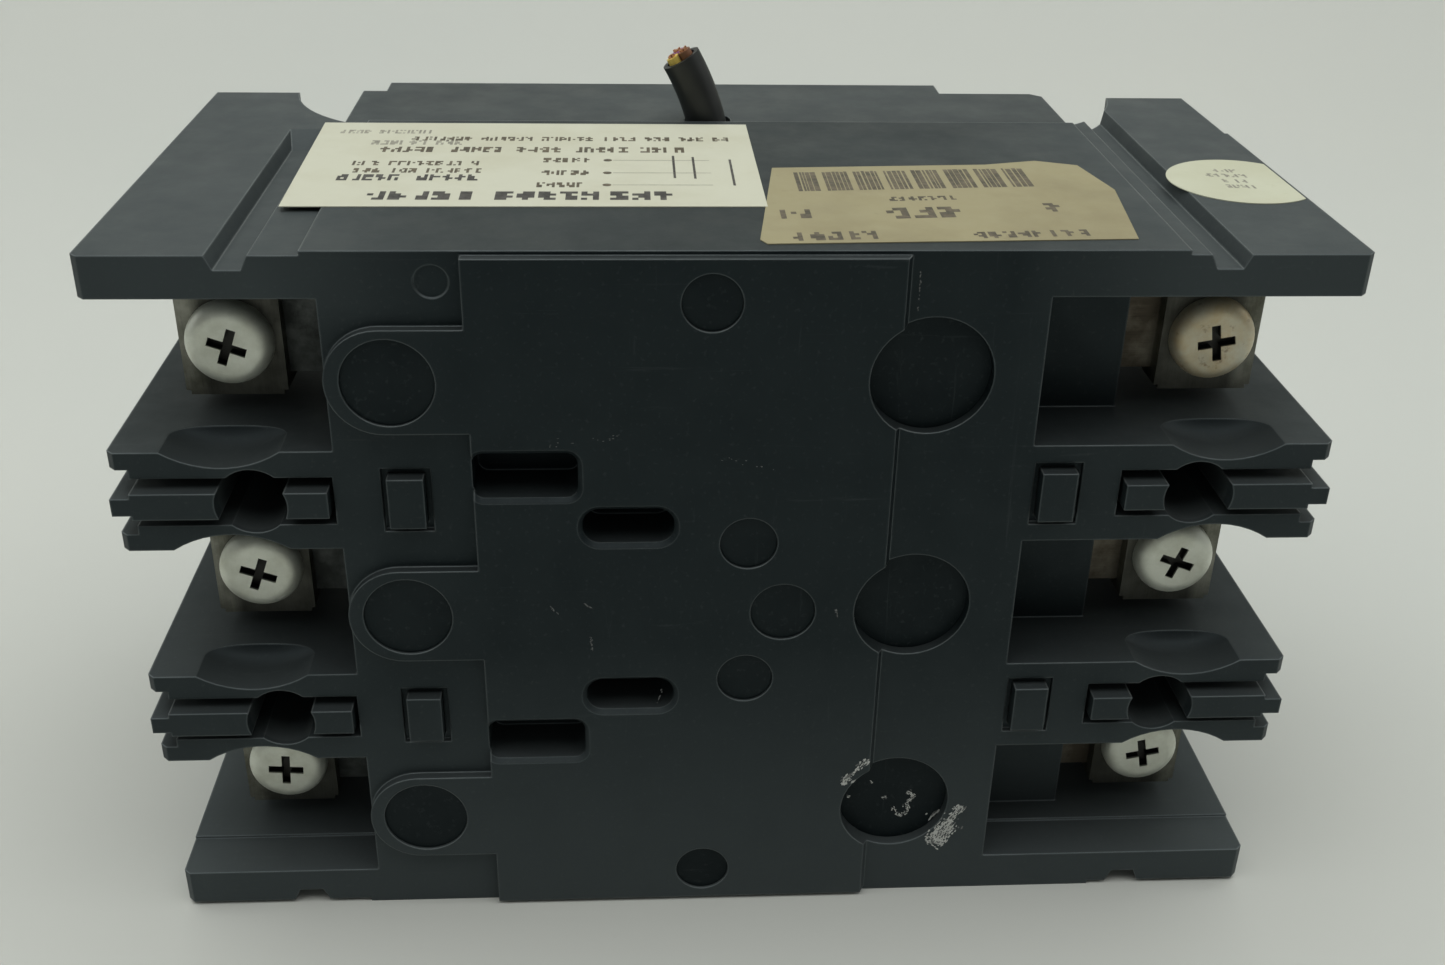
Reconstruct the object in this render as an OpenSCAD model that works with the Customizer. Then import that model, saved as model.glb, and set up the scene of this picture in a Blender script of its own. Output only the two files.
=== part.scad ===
// Three-pole moulded-case breaker with an alarm switch.
// X runs along the case from line end to load end, Y from the mounting face to the front,
// and Z across the poles.
// Y = 0 is the mounting face; X = 0 and Z = 0 are the centre of the four mounting holes.

/* [Case] */
// Overall length of the moulded base
case_length = 161.8; // [160:0.1:163]
// Overall width over the end flanges
case_width = 102.8; // [102:0.1:104]
// Depth of the base from mounting face to seam
seam_y = 61; // [60:0.1:61.5]
// Depth to the raised front of the cover
front_y = 87; // [86.5:0.1:88]
// Height of the proud panel on the mounting face
panel_step = 1.4; // [1:0.1:2]

/* [Poles and mounting] */
// Distance between neighbouring poles
pole_pitch = 34.925; // [34.9:0.005:34.95]
// Distance between mounting holes along the case
mount_length = 126; // [125:0.1:127]
// Radius of the mounting screw hole
mount_hole_r = 2.7; // [2.2:0.1:3]
// Width of one terminal chamber
chamber_width = 20.4; // [19:0.1:21]

/* [Terminals] */
// Width of a wire lug across the pole
lug_width = 16; // [14:0.1:17]
// Length of a wire lug along the wire
lug_length = 13.6; // [12.6:0.1:14]
// Radius of the wire bore in a lug
wire_bore_r = 4.75; // [4:0.05:4.8]
// Radius of the round screw heads on the lugs
lug_head_r = 5.8; // [4.5:0.1:5.9]

/* [Mechanism] */
// Angle the handle turns from off to on
handle_swing = 26; // [20:1:26]
// Height of the handle above the front
handle_height = 18; // [14:1:20]
// Angle the contact arms open
blade_swing = 28; // [24:1:28]

/* [Cable and labels] */
// Radius of the alarm cable jacket
cable_r = 3.1; // [2.8:0.05:3.15]
// Angle the cut cable leans over
cable_lean = 30; // [26:1:34]
// Thickness of the paper labels
label_t = 0.12; // [0.08:0.02:0.2]

/* [Hidden] */

$fn = 48;
cut = 1;
slip = 0.06;

half_length = case_length / 2;
half_width = case_width / 2;
half_mount = mount_length / 2;
pole_z = [pole_pitch, 0, -pole_pitch];
rib_z = [pole_pitch / 2, -pole_pitch / 2];

// Case shell
skin_y = panel_step;
flange_y = 80;
load_flange_y = 79;
end_step_y = 57.2;
end_step = 0.5;
sweep_r = 25.6;
sweep_x = 42;
sweep_y = 82.5;
cover_x = [-57.3, 56.5];
raised_x = [-53.5, 39.3];
shoulder_y = front_y - 5.6;
shoulder_cut = 1.7;
wall = 3;
side_panel_x = [-53.5, 57];
side_panel_t = 0.6;
side_groove_x = 62.3;
side_groove_top = 5.2;
side_groove_floor = 3.4;
side_groove_t = 1.9;
side_groove_end = 62;
side_groove_run = 9;
corner_cut = 0.9;

// Mounting face
panel_x = [-34.1, 21.1];
panel_slope = 0.7;
lobe_x = -44.8;
lobe_r = 7.2;
line_recess_x = -44;
line_recess_r = 6;
seal_x = 25.4;
seal_r = 8.2;
seal_t = 2;
seal_sink = 3;
plug_sink = 0.4;
seal_gap = 0.05;
recess_floor = 11;
pin_recess = [[-3.1, 45.6, 3.9], [-3.3, -45.9, 3.9], [2.3, 11, 3.9], [2.3, -11, 3.9], [7.3, 0, 4.5]];
pin_recess_depth = 7.4;
ejector_mark = [-37.8, 48, 2.2];
ejector_depth = 0.3;
wide_slot = [-34.2, -20.4, 21.4, 6.6, 1.6];
long_slot = [-20, -7.7, 13.7, 5.2, 2.4];
slot_depth = 8.6;
slot_lip = 0.65;

// Terminal chambers
chamber_half = chamber_width / 2;
chamber_outer_z = half_width - 6;
line_wall_x = -52;
load_wall_x = 40;
load_deep_x = 54.2;
load_ledge_y = 13.5;
chamber_roof_y = 34.8;
flange_relief_y = 9.2;
flange_relief = 0.4;
rib_half = pole_pitch / 2 - chamber_half;
scoop_r = 14;
scoop_x = 66.5;
scoop_depth = 9.5;
scoop_bite = 2.3;
scoop_round = 3;
barrier_slot_z = [1.9, 3.5];
barrier_slot_x = 52.4;
barrier_slot_y = 34;
tooth_x = 78.4;
tooth_z = [1.25, 4.8];
foot_gap = 0.6;
foot_gap_y = 4;
mount_bore_r = 4.7;
mount_bore_depth = 24;
mount_head_r = 4.7;
mount_head_y = 40;

// Inner cavities
bay_half = 13.5;
bay_x = [-48, 48];
bay_low_x = 37;
bay_floor = 13;
bay_low_floor = 17;
bay_high_y = 38;
bay_high_x = [-53.4, 53];
strap_pad_z = 6;
strap_y = [17, 19.6];
strap_half = 5.7;
strap_gap = 0.15;

// Cover fixing
fixing_x = [-42.9, 43.8];
fixing_hole_r = 2.2;
fixing_r = 2;
fixing_head_r = 3.8;
fixing_head_t = 2.8;
fixing_sink = 4;
fixing_head_gap = 0.3;
nut_size = [4.8, 4, 7.3];
nut_y = 0.1;
nut_gap = 0.05;
nut_moat = [0.85, 1.05];
nut_moat_y = 2.3;
nut_cap = 2.2;
driver_slot_w = 1.1;
driver_slot_depth = 1.2;

// Conductors
line_strap_x = [-72.4, -24];
load_strap_x = [21, 72.4];
strap_screw_r = 2;
strap_screw_head_r = 4;
strap_screw_head_t = 3.2;
contact_x = [-33, -27];
contact_half = 3;
contact_y = 22;
fixed_contact_half = 3.5;
contact_gap = 0.06;

// Lugs
lug_x = 66.5;
lug_cross_turn = [[20, 20, 4], [-10, 20, -12]];
lug_y = [14.6, 34];
wire_y = 25.15;
lug_head_t = 2.8;
lug_head_round = 1.9;
lug_screw_r = 2.2;
lug_corner = 0.6;
cross_w = 1.25;
cross_len = 5.2;
cross_depth = 1.5;
bind_r = 3.6;
bind_len = 12;
bind_clear = 0.3;
bind_slot_w = 1.2;
bind_slot_depth = 1.6;

// Arc chutes
plate_x = [-47, -25.8];
plate_half = 11.4;
plate_t = 1;
plate_pitch = 3.4;
plate_first_y = 25.2;
plate_count = 8;
notch_x = -39;
notch_half = 4.2;
sheet_z = [11.6, 12.4];
sheet_y = [21.5, 52.5];

// Crossbar and contact arms
bar_x = 4;
bar_y = 25;
bar_r = 5.5;
bar_half = 47;
arm_half = 2;
holder_half = 5;
holder_outline = [[-8.5, 20.5], [9.5, 20.5], [9.5, 30.5], [1.5, 33], [0, 37],
    [-4, 39], [-7.6, 37], [-8.5, 33]];
blade_outline = [[-34, 24.2], [-26, 24.2], [-10, 22.4], [-5, 21.8], [12, 23], [12, 27], [10, 29.6],
    [-10, 30.4], [-34, 28]];
press = 0.02;
pin_on = [-4, 35];
link_pin_r = 1.5;

// Handle
handle_pivot = [2, 44];
yoke_z = [9, 10.2];
yoke_top_y = 76;
yoke_t = 1.2;
yoke_foot_r = 4.5;
yoke_top_half = 6;
handle_half_x = 4.5;
handle_half_z = 8.4;
handle_foot_half_x = 6;
handle_foot_half_z = 9.4;
handle_foot_top = 80;
grip_r = 1.6;
window_half_x = 15;
window_half_z = 9;
shutter_half_x = 24;
shutter_half_z = 10.6;
shutter_y = [82.2, 83.4];
shutter_hole_half = 5.2;
rail_z = 9.9;
rail_y = [80.2, 82];
rail_x = [-30, 37.3];
front_wall_y = front_y - wall;
raised_wall = 1.9;
shutter_slot_gap = 0.2;

// Mechanism frame
frame_z = [11.2, 12.4];
frame_foot_t = 1.5;
frame_outline = [[-1.4, 13], [18, 13], [18, 36], [29, 36], [29, 58], [-24, 58], [-24, 44], [-14, 36],
    [11, 36], [11, 14.5], [-1.4, 14.5]];
frame_foot_x = [-1.4, 18];
pivot_pin_r = 1.5;
pivot_pin_proud = 0.4;
frame_head_r = 3.2;
frame_head_t = 2;
frame_slot_depth = 1;
cradle_pivot = [-20, 52];

// Cradle and toggle links
cradle_z = [6.7, 7.9];
cradle_outline = [[-24, 50], [-20, 48], [-5, 53.4], [24, 51.4], [32.9, 52.2], [32.9, 55], [26, 56.4],
    [0, 61], [-6, 60.3], [-9.5, 59.4], [-12, 57], [-20, 56], [-24, 54]];
nose_x = [27, 32.9];
nose_y = [52.4, 54.6];
cradle_pin = [-7, 58];
cradle_pin_z = 4;
upper_z = [4.2, 5.2];
lower_z = [5.35, 6.35];
lower_len = 11.4;
upper_len = 12.1;
link_half = 2.9;
knee_r = 1.4;
knee_half = 6.5;
fork_half = 1.7;
fork_depth = 1.45;
spring_z = 1.95;
spring_wire_r = 0.35;
spring_tie_r = 0.2;
spring_coil_r = 1.3;
spring_turns = 14;
spring_first = 4;
spring_tie_gap = 0.3;
spring_tie_short = 1;

// Thermal and magnetic trip
foot_x = [21.5, 29.2];
foot_t = 1.2;
foot_tab_y = 24;
bimetal_half = 5;
bimetal_top = 50;
cal_y = 47.5;
cal_r = 1.2;
cal_x = [25.6, 33.2];
cal_head_r = 2;
cal_head_x = 24.9;
core_x = [25.4, 33];
core_back_x = 31;
core_y = [28, 41];
core_z = [6.6, 8.5];
armature_x = [23, 24.4];
armature_y = [23.8, 45.2];
armature_arm_y = [43.5, 46.5];
armature_arm_x = 33;
armature_arm_z = 7;
armature_pin = [23.7, 25];
armature_pin_r = 1.2;
armature_pin_half = 12;
bearing_x = [21, 26.4];
bearing_z = 9.7;
bearing_y = 27.4;
braid_x = 12.3;
braid_y = 21.7;
braid_z = 1.3;
braid_r = 1.1;

// Trip bar and button
trip_x = 36;
trip_y = 58;
trip_r = 2.9;
trip_half = 47;
leg_x = [34.5, 36.5];
leg_y = 43.5;
leg_half = 8.5;
trip_arm_x = 25.8;
trip_arm_y = [58, 60.5];
trip_arm_half = 3;
button_x = 28;
button_z = -pole_pitch + 4.9;
button_r = 3;
button_tip_r = 1;
button_tip_y = 60.7;
button_shank_y = 64;
button_collar_y = [80.4, 82];
button_collar_r = 4.4;
button_proud = 1.6;
trip_spring_z = -47.5;
trip_spring_turns = 4;
trip_spring_r = 4.1;
trip_spring_pitch = 1.2;
trip_spring_wire_r = 0.4;

// Alarm switch
switch_x = [-16, 12];
switch_y = [67.6, 79];
switch_z = [24, 34];
switch_block_x = [-7, 5];
switch_block_y = [61.6, 67.6];
switch_block_z = [34, 40];
plunger_at = [-4, 28.5];
plunger_y = 66.9;
plunger_r = 1.2;
lever_x = -14;
lever_y = 61;
lever_r = 2;
lever_z = [8.4, 31];
lever_arm_x = 1;
lever_arm_y = [61.6, 63];
lever_foot_z = [6.5, 8.6];
lever_tip_x = -2;
lever_tip_z = 26;

// Alarm cable
cable_x = 0.2;
cable_y = 64.5;
cable_start_z = 41;
cable_bend_r = 40;
cable_bore_r = 2.35;
cable_hole_x = -0.86;
cable_gap = 0.5;
wire_r = 1;
wire_ring = 1.2;
wire_proud_angle = 1.3;

// Labels
panel_z = half_width + side_panel_t;
alarm_corners = [[-59, 18.2], [5, 18.3], [4.8, 58.7], [-59.8, 59]];
rating_corners = [[3.8, 3.6], [51.3, 5.4], [53.9, 25.8], [51.6, 37.4], [45.8, 39.6], [38.1, 37.6],
    [7, 35.8], [3, 5.2]];
sticker_centre = [74, 32];
sticker_r = 10.4;

module slab(z0, z1) {
    translate([0, 0, z0]) linear_extrude(z1 - z0) children();
}

module both_sides() {
    children();
    mirror([0, 0, 1]) children();
}

module block(x, y, z) {
    translate([x[0], y[0], z[0]]) cube([x[1] - x[0], y[1] - y[0], z[1] - z[0]]);
}

module y_rod(x, z, r, y0, y1) {
    translate([x, y0, z]) rotate([-90, 0, 0]) cylinder(r = r, h = y1 - y0);
}

module z_rod(x, y, r, z0, z1) {
    translate([x, y, z0]) cylinder(r = r, h = z1 - z0);
}

module x_rod(y, z, r, x0, x1) {
    translate([x0, y, z]) rotate([0, 90, 0]) cylinder(r = r, h = x1 - x0);
}

module turned(pivot, angle) {
    translate([pivot[0], pivot[1], 0]) rotate([0, 0, angle])
        translate([-pivot[0], -pivot[1], 0]) children();
}

// Disc along Y with its far rim rounded
module rounded_drum(r, t, edge) {
    rotate([-90, 0, 0]) rotate_extrude($fn = 96) {
        square([r, t - edge]);
        square([r - edge, t]);
        intersection() {
            translate([r - edge, t - edge]) circle(r = edge);
            square([r, t]);
        }
    }
}

// Outline of the base seen across the poles
module base_profile() {
    difference() {
        polygon([
            [-half_length, skin_y + corner_cut], [-half_length + corner_cut, skin_y],
            [half_length - corner_cut, skin_y], [half_length, skin_y + corner_cut],
            [half_length, end_step_y], [half_length - end_step, end_step_y],
            [half_length - end_step, load_flange_y], [sweep_x, load_flange_y],
            [sweep_x, seam_y], [-sweep_x, seam_y], [-sweep_x, flange_y], [-half_length, flange_y]
        ]);
        translate([-sweep_x, sweep_y]) circle(r = sweep_r, $fn = 96);
        translate([sweep_x, sweep_y]) circle(r = sweep_r, $fn = 96);
        translate([cover_x[0], seam_y]) square([cover_x[1] - cover_x[0], flange_y]);
    }
}

// Round-cornered slot into the mounting face, its mouth flared by a chamfer
module rounded_slot(x0, x1, zc, height, r) {
    y_span = [-cut, slot_depth];
    low = zc - height / 2;
    high = zc + height / 2;
    reach = slot_lip + cut;
    block([x0 + r, x1 - r], y_span, [low, high]);
    block([x0, x1], y_span, [low + r, high - r]);
    translate([0, 0, low + r]) linear_extrude(height - 2 * r)
        polygon([[x0 - reach, -cut], [x1 + reach, -cut], [x1, slot_lip], [x0, slot_lip]]);
    translate([x0 + r, 0, 0]) rotate([90, 0, 90]) linear_extrude(x1 - x0 - 2 * r)
        polygon([[-cut, low - reach], [slot_lip, low], [slot_lip, high], [-cut, high + reach]]);
    for (sx = [x0 + r, x1 - r], sz = [low + r, high - r]) {
        y_rod(sx, sz, r, -cut, slot_depth);
        translate([sx, 0, sz]) rotate([-90, 0, 0]) rotate_extrude()
            polygon([[0, -cut], [r + reach, -cut], [r, slot_lip], [0, slot_lip]]);
    }
}

// Pole bay and terminal chambers, as a solid to take away
module pole_space(zc) {
    bay = [zc - bay_half, zc + bay_half];
    block([bay_x[0], bay_low_x], [bay_floor, seam_y + cut], bay);
    block([bay_low_x - cut, bay_x[1]], [bay_low_floor, seam_y + cut], bay);
    block(bay_high_x, [bay_high_y, seam_y + cut], bay);
    block([line_strap_x[0], bay_x[0] + cut], [strap_y[0] - strap_gap, strap_y[1] + strap_gap],
        [zc - strap_half - strap_gap, zc + strap_half + strap_gap]);
    block([bay_x[1] - cut, load_strap_x[1]], [strap_y[0] - strap_gap, strap_y[1] + strap_gap],
        [zc - strap_half - strap_gap, zc + strap_half + strap_gap]);
}

module chamber_space(zc) {
    low = zc < 0 ? -chamber_outer_z : zc - chamber_half;
    high = zc > 0 ? chamber_outer_z : zc + chamber_half;
    span = [low, high];
    far = half_length + cut;
    block([-far, line_wall_x], [-cut, chamber_roof_y], span);
    block([-far, cover_x[0]], [-cut, flange_y + cut], span);
    block([load_wall_x, far], [-cut, load_ledge_y], span);
    block([load_deep_x, far], [-cut, chamber_roof_y], span);
    block([cover_x[1], far], [-cut, flange_y + cut], span);
    if (zc > 0) block([-far, line_wall_x], [-cut, flange_relief_y], [high - cut, high + flange_relief]);
    if (zc < 0) block([-far, line_wall_x], [-cut, flange_relief_y], [low - flange_relief, low + cut]);
    if (zc > 0) block([load_wall_x, far], [-cut, flange_relief_y], [high - cut, high + flange_relief]);
    if (zc < 0) block([load_wall_x, far], [-cut, flange_relief_y], [low - flange_relief, low + cut]);
}

module screw_recesses(zc) {
    y_rod(line_recess_x, zc, line_recess_r, -cut, recess_floor);
    y_rod(line_recess_x, zc, strap_screw_r + slip, recess_floor - cut, bay_low_floor + cut);
    y_rod(seal_x, zc, seal_r, -cut, seal_sink + seal_t);
    y_rod(seal_x, zc, line_recess_r, 0, recess_floor);
    y_rod(seal_x, zc, strap_screw_r + slip, recess_floor - cut, bay_low_floor + cut);
}

// Span from near to far on the line side (side < 0) or on the load side
function span_on(side, near, far) = side > 0 ? [near, far] : [-far, -near];

// Span of two distances measured up or down from a centre
function span_about(centre, way, d) = way > 0 ? [centre + d[0], centre + d[1]]
    : [centre - d[1], centre - d[0]];

// Room for a cover nut, with a gap along and across it, down to depth
module around_nut(fx, zr, gap, depth) {
    block([fx - nut_size[0] / 2 - gap[0], fx + nut_size[0] / 2 + gap[0]], [-cut, depth],
        [zr - nut_size[2] / 2 - gap[1], zr + nut_size[2] / 2 + gap[1]]);
}

// Barrier slots, mounting holes and cover fixing holes of one rib
module rib_cuts(zr) {
    for (side = [-1, 1]) {
        y_rod(side * half_mount, zr, mount_hole_r, -cut, flange_y);
        y_rod(side * half_mount, zr, mount_bore_r, -cut, mount_bore_depth);
        y_rod(side * half_mount, zr, mount_head_r, mount_head_y, flange_y);
        slot_x = span_on(side, barrier_slot_x, half_length + cut);
        tip_x = span_on(side, tooth_x, half_length + cut);
        for (sz = [-1, 1]) {
            block(slot_x, [-cut, barrier_slot_y], span_about(zr, sz, barrier_slot_z));
            block(tip_x, [-cut, barrier_slot_y], span_about(zr, sz, tooth_z));
        }
        block(span_on(side, barrier_slot_x, barrier_slot_x + foot_gap), [-cut, foot_gap_y],
            [zr - barrier_slot_z[1], zr + barrier_slot_z[1]]);
    }
    for (sx = [-1, 1], sz = [-1, 1]) intersection() {
        translate([sx * scoop_x, -cut, zr + sz * (rib_half + scoop_r - scoop_bite)])
            rounded_drum(scoop_r, scoop_depth + cut, scoop_round);
        block([sx * scoop_x - scoop_r, sx * scoop_x + scoop_r], [-cut, scoop_depth],
            sz > 0 ? [zr, zr + rib_half + cut] : [zr - rib_half - cut, zr]);
    }
    for (fx = fixing_x) {
        y_rod(fx, zr, fixing_hole_r, 0, flange_y);
        around_nut(fx, zr, [nut_gap, nut_gap], nut_y + nut_size[1]);
        around_nut(fx, zr, nut_moat, nut_moat_y);
    }
}

// Passages through the pole walls for the crossbar, the trip bar and the alarm lever
module cross_passages() {
    span = [-bar_half - slip, bar_half + slip];
    z_rod(bar_x, bar_y, bar_r + slip, span[0], span[1]);
    block([bar_x - bar_r - slip, bar_x + bar_r + slip], [bar_y, seam_y + cut], span);
    z_rod(trip_x, trip_y, trip_r + slip, -trip_half - slip, trip_half + slip);
    block([trip_x - trip_r - slip, trip_x + trip_r + slip], [trip_y, seam_y + cut],
        [-trip_half - slip, trip_half + slip]);
}

module lever_passage() {
    z_rod(lever_x, lever_y, lever_r + slip, 0, pole_pitch);
}

// Groove across the outer face of a flange, with sloping sides and a sloping far end
module side_groove(xc, far_y, run_out) {
    low = half_width - side_groove_t;
    high = panel_z + cut;
    spread = (side_groove_top - side_groove_floor) / 2 / side_groove_t * (high - low);
    half = side_groove_floor / 2;
    intersection() {
        translate([xc, flange_y + 2 * cut, 0]) rotate([90, 0, 0]) linear_extrude(flange_y + 4 * cut)
            polygon([[-half, low], [half, low], [half + spread, high], [-half - spread, high]]);
        translate([xc - side_groove_top, 0, 0]) rotate([90, 0, 90]) linear_extrude(2 * side_groove_top)
            polygon([[-cut, low - cut], [far_y - run_out, low - cut], [far_y - run_out, low],
                [far_y, high], [-cut, high]]);
    }
}

module base() {
    color([0.1, 0.1, 0.11]) difference() {
        union() {
            slab(-half_width, half_width) base_profile();
            block(side_panel_x, [skin_y, seam_y], [-panel_z, panel_z]);
            slab(-half_width, half_width) polygon([
                [panel_x[0], 0], [panel_x[1], 0], [panel_x[1] + panel_slope, skin_y],
                [panel_x[1] + panel_slope, skin_y + cut], [panel_x[0], skin_y + cut]
            ]);
            for (zr = rib_z, side = [-1, 1])
                block(span_on(side, barrier_slot_x, half_length), [0, skin_y + cut],
                    [zr - barrier_slot_z[0], zr + barrier_slot_z[0]]);
            for (zc = pole_z) {
                block([lobe_x, panel_x[0] + cut], [0, skin_y + cut], [zc - lobe_r, zc + lobe_r]);
                y_rod(lobe_x, zc, lobe_r, 0, skin_y + cut);
            }
        }
        for (zc = pole_z) {
            difference() {
                pole_space(zc);
                block([bay_x[0] - cut, line_strap_x[1]], [bay_floor - cut, bay_low_floor],
                    [zc - strap_pad_z, zc + strap_pad_z]);
                block([load_strap_x[0], bay_low_x + cut], [bay_floor - cut, bay_low_floor],
                    [zc - strap_pad_z, zc + strap_pad_z]);
                for (sz = [-1, 1])
                    block(bearing_x, [bay_floor - cut, bearing_y],
                        sz > 0 ? [zc + bearing_z, zc + bay_half + cut]
                        : [zc - bay_half - cut, zc - bearing_z]);
            }
            chamber_space(zc);
            screw_recesses(zc);
            z_rod(armature_pin[0], armature_pin[1], armature_pin_r + slip,
                zc - armature_pin_half - slip, zc + armature_pin_half + slip);
        }
        for (zr = rib_z) rib_cuts(zr);
        cross_passages();
        lever_passage();
        for (p = pin_recess) y_rod(p[0], p[1], p[2], -cut, pin_recess_depth);
        for (p = pin_recess) if (abs(p[1]) < bay_half)
            y_rod(p[0], p[1], fixing_hole_r, 0, bay_floor + cut);
        y_rod(ejector_mark[0], ejector_mark[1], ejector_mark[2], -cut, skin_y + ejector_depth);
        for (s = [-1, 1]) {
            rounded_slot(wide_slot[0], wide_slot[1], s * wide_slot[2], wide_slot[3], wide_slot[4]);
            rounded_slot(long_slot[0], long_slot[1], s * long_slot[2], long_slot[3], long_slot[4]);
        }
        both_sides() {
            side_groove(-side_groove_x, side_groove_end, side_groove_run);
            side_groove(side_groove_x, flange_y + cut, 0);
        }
    }
}

module cover_profile() {
    polygon([
        [cover_x[0], seam_y], [cover_x[0], shoulder_y],
        [raised_x[0], shoulder_y], [raised_x[0], front_y],
        [raised_x[1], front_y], [raised_x[1], shoulder_y], [cover_x[1] - shoulder_cut, shoulder_y],
        [cover_x[1], shoulder_y - shoulder_cut], [cover_x[1], seam_y]
    ]);
}

module cover() {
    color([0.11, 0.11, 0.12]) difference() {
        slab(-half_width, half_width) cover_profile();
        difference() {
            for (zc = pole_z) {
                bay = [zc - bay_half, zc + bay_half];
                block([cover_x[0] + wall, cover_x[1] - wall], [seam_y - cut, shoulder_y - wall], bay);
                block([raised_x[0] + wall, raised_x[1] - raised_wall], [seam_y, front_wall_y], bay);
            }
            for (s = [-1, 1])
                block(rail_x, rail_y, s > 0 ? [rail_z, bay_half + cut] : [-bay_half - cut, -rail_z]);
        }
        block([handle_pivot[0] - window_half_x, handle_pivot[0] + window_half_x], [front_wall_y - cut,
            front_y + cut], [-window_half_z, window_half_z]);
        y_rod(button_x, button_z, button_r + slip, front_wall_y - cut, front_y + cut);
        for (zr = rib_z) {
            for (fx = fixing_x) y_rod(fx, zr, fixing_hole_r, seam_y - cut, front_y + cut);
            y_rod(fixing_x[0], zr, fixing_head_r + fixing_head_gap,
                front_y - fixing_sink, front_y + cut);
            y_rod(fixing_x[1], zr, fixing_head_r + fixing_head_gap,
                shoulder_y - fixing_sink, front_y + cut);
        }
        lever_passage();
        z_rod(cable_hole_x, cable_y, cable_r + cable_gap, pole_pitch, half_width + cut);
        block([cable_hole_x - cable_r - cable_gap, cable_hole_x + cable_r + cable_gap],
            [seam_y - cut, cable_y], [pole_pitch, half_width + cut]);
    }
}

module cover_screws() {
    color([0.55, 0.55, 0.56]) for (zr = rib_z, i = [0, 1]) {
        top = (i == 0 ? front_y : shoulder_y) - fixing_sink;
        difference() {
            union() {
                y_rod(fixing_x[i], zr, fixing_r, nut_y + nut_cap, top + cut);
                y_rod(fixing_x[i], zr, fixing_head_r, top, top + fixing_head_t);
            }
            block([fixing_x[i] - driver_slot_w / 2, fixing_x[i] + driver_slot_w / 2],
                [top + fixing_head_t - driver_slot_depth, top + fixing_head_t + cut],
                [zr - fixing_head_r, zr + fixing_head_r]);
        }
    }
}

module cover_nuts() {
    color([0.13, 0.13, 0.14]) for (zr = rib_z, fx = fixing_x) difference() {
        block([fx - nut_size[0] / 2, fx + nut_size[0] / 2], [nut_y, nut_y + nut_size[1]],
            [zr - nut_size[2] / 2, zr + nut_size[2] / 2]);
        y_rod(fx, zr, fixing_r + slip, nut_y + nut_cap, nut_y + nut_size[1] + cut);
    }
}

module line_straps() {
    color([0.72, 0.45, 0.25]) for (zc = pole_z) difference() {
        block(line_strap_x, strap_y, [zc - strap_half, zc + strap_half]);
        y_rod(-lug_x, zc, lug_screw_r + slip, strap_y[0] - cut, strap_y[1] + cut);
        y_rod(line_recess_x, zc, strap_screw_r + slip, strap_y[0] - cut, strap_y[1] + cut);
    }
}

module load_straps() {
    color([0.72, 0.45, 0.25]) for (zc = pole_z) difference() {
        block(load_strap_x, strap_y, [zc - strap_half, zc + strap_half]);
        y_rod(lug_x, zc, lug_screw_r + slip, strap_y[0] - cut, strap_y[1] + cut);
        y_rod(seal_x, zc, strap_screw_r + slip, strap_y[0] - cut, strap_y[1] + cut);
    }
}

// Wire lug: saddle slot for the strap, bore for the wire, tapped hole for the binding screw
module wire_lug(xc, zc) {
    x = [xc - lug_length / 2, xc + lug_length / 2];
    z = [zc - lug_width / 2, zc + lug_width / 2];
    color([0.75, 0.74, 0.7]) difference() {
        union() {
            block(x, lug_y, [z[0] + lug_corner, z[1] - lug_corner]);
            block([x[0] + lug_corner, x[1] - lug_corner], lug_y, z);
        }
        block([x[0] - cut, x[1] + cut], [strap_y[0] - slip, strap_y[1] + slip],
            [zc - strap_half - strap_gap, zc + strap_half + strap_gap]);
        x_rod(wire_y, zc, wire_bore_r, x[0] - cut, x[1] + cut);
        y_rod(xc, zc, lug_screw_r + slip, lug_y[0] - cut, strap_y[0]);
        y_rod(xc, zc, bind_r + slip, wire_y, lug_y[1] + cut);
    }
}

module line_lug_a() { wire_lug(-lug_x, pole_z[0]); }
module line_lug_b() { wire_lug(-lug_x, pole_z[1]); }
module line_lug_c() { wire_lug(-lug_x, pole_z[2]); }
module load_lug_a() { wire_lug(lug_x, pole_z[0]); }
module load_lug_b() { wire_lug(lug_x, pole_z[1]); }
module load_lug_c() { wire_lug(lug_x, pole_z[2]); }

module lug_mount_screws() {
    color([0.82, 0.79, 0.7]) for (s = [-1, 1], i = [0 : 2]) difference() {
        union() {
            translate([s * lug_x, lug_y[0], pole_z[i]]) mirror([0, 1, 0])
                rounded_drum(lug_head_r, lug_head_t, lug_head_round);
            y_rod(s * lug_x, pole_z[i], lug_screw_r, lug_y[0] - cut, strap_y[1]);
        }
        translate([s * lug_x, lug_y[0] - lug_head_t, pole_z[i]])
            rotate([0, lug_cross_turn[s < 0 ? 0 : 1][i], 0]) {
            cube([cross_len, 2 * cross_depth, cross_w], center = true);
            cube([cross_w, 2 * cross_depth, cross_len], center = true);
        }
    }
}

// Binding screw, backed out until it clears the wire bore
module bind_screw(xc, zc) {
    tip = wire_y + wire_bore_r + bind_clear;
    color([0.7, 0.7, 0.68]) difference() {
        y_rod(xc, zc, bind_r, tip, tip + bind_len);
        block([xc - bind_slot_w / 2, xc + bind_slot_w / 2], [tip + bind_len - bind_slot_depth,
            tip + bind_len + cut], [zc - bind_r - cut, zc + bind_r + cut]);
    }
}

module line_bind_screw_a() { bind_screw(-lug_x, pole_z[0]); }
module line_bind_screw_b() { bind_screw(-lug_x, pole_z[1]); }
module line_bind_screw_c() { bind_screw(-lug_x, pole_z[2]); }
module load_bind_screw_a() { bind_screw(lug_x, pole_z[0]); }
module load_bind_screw_b() { bind_screw(lug_x, pole_z[1]); }
module load_bind_screw_c() { bind_screw(lug_x, pole_z[2]); }

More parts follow.
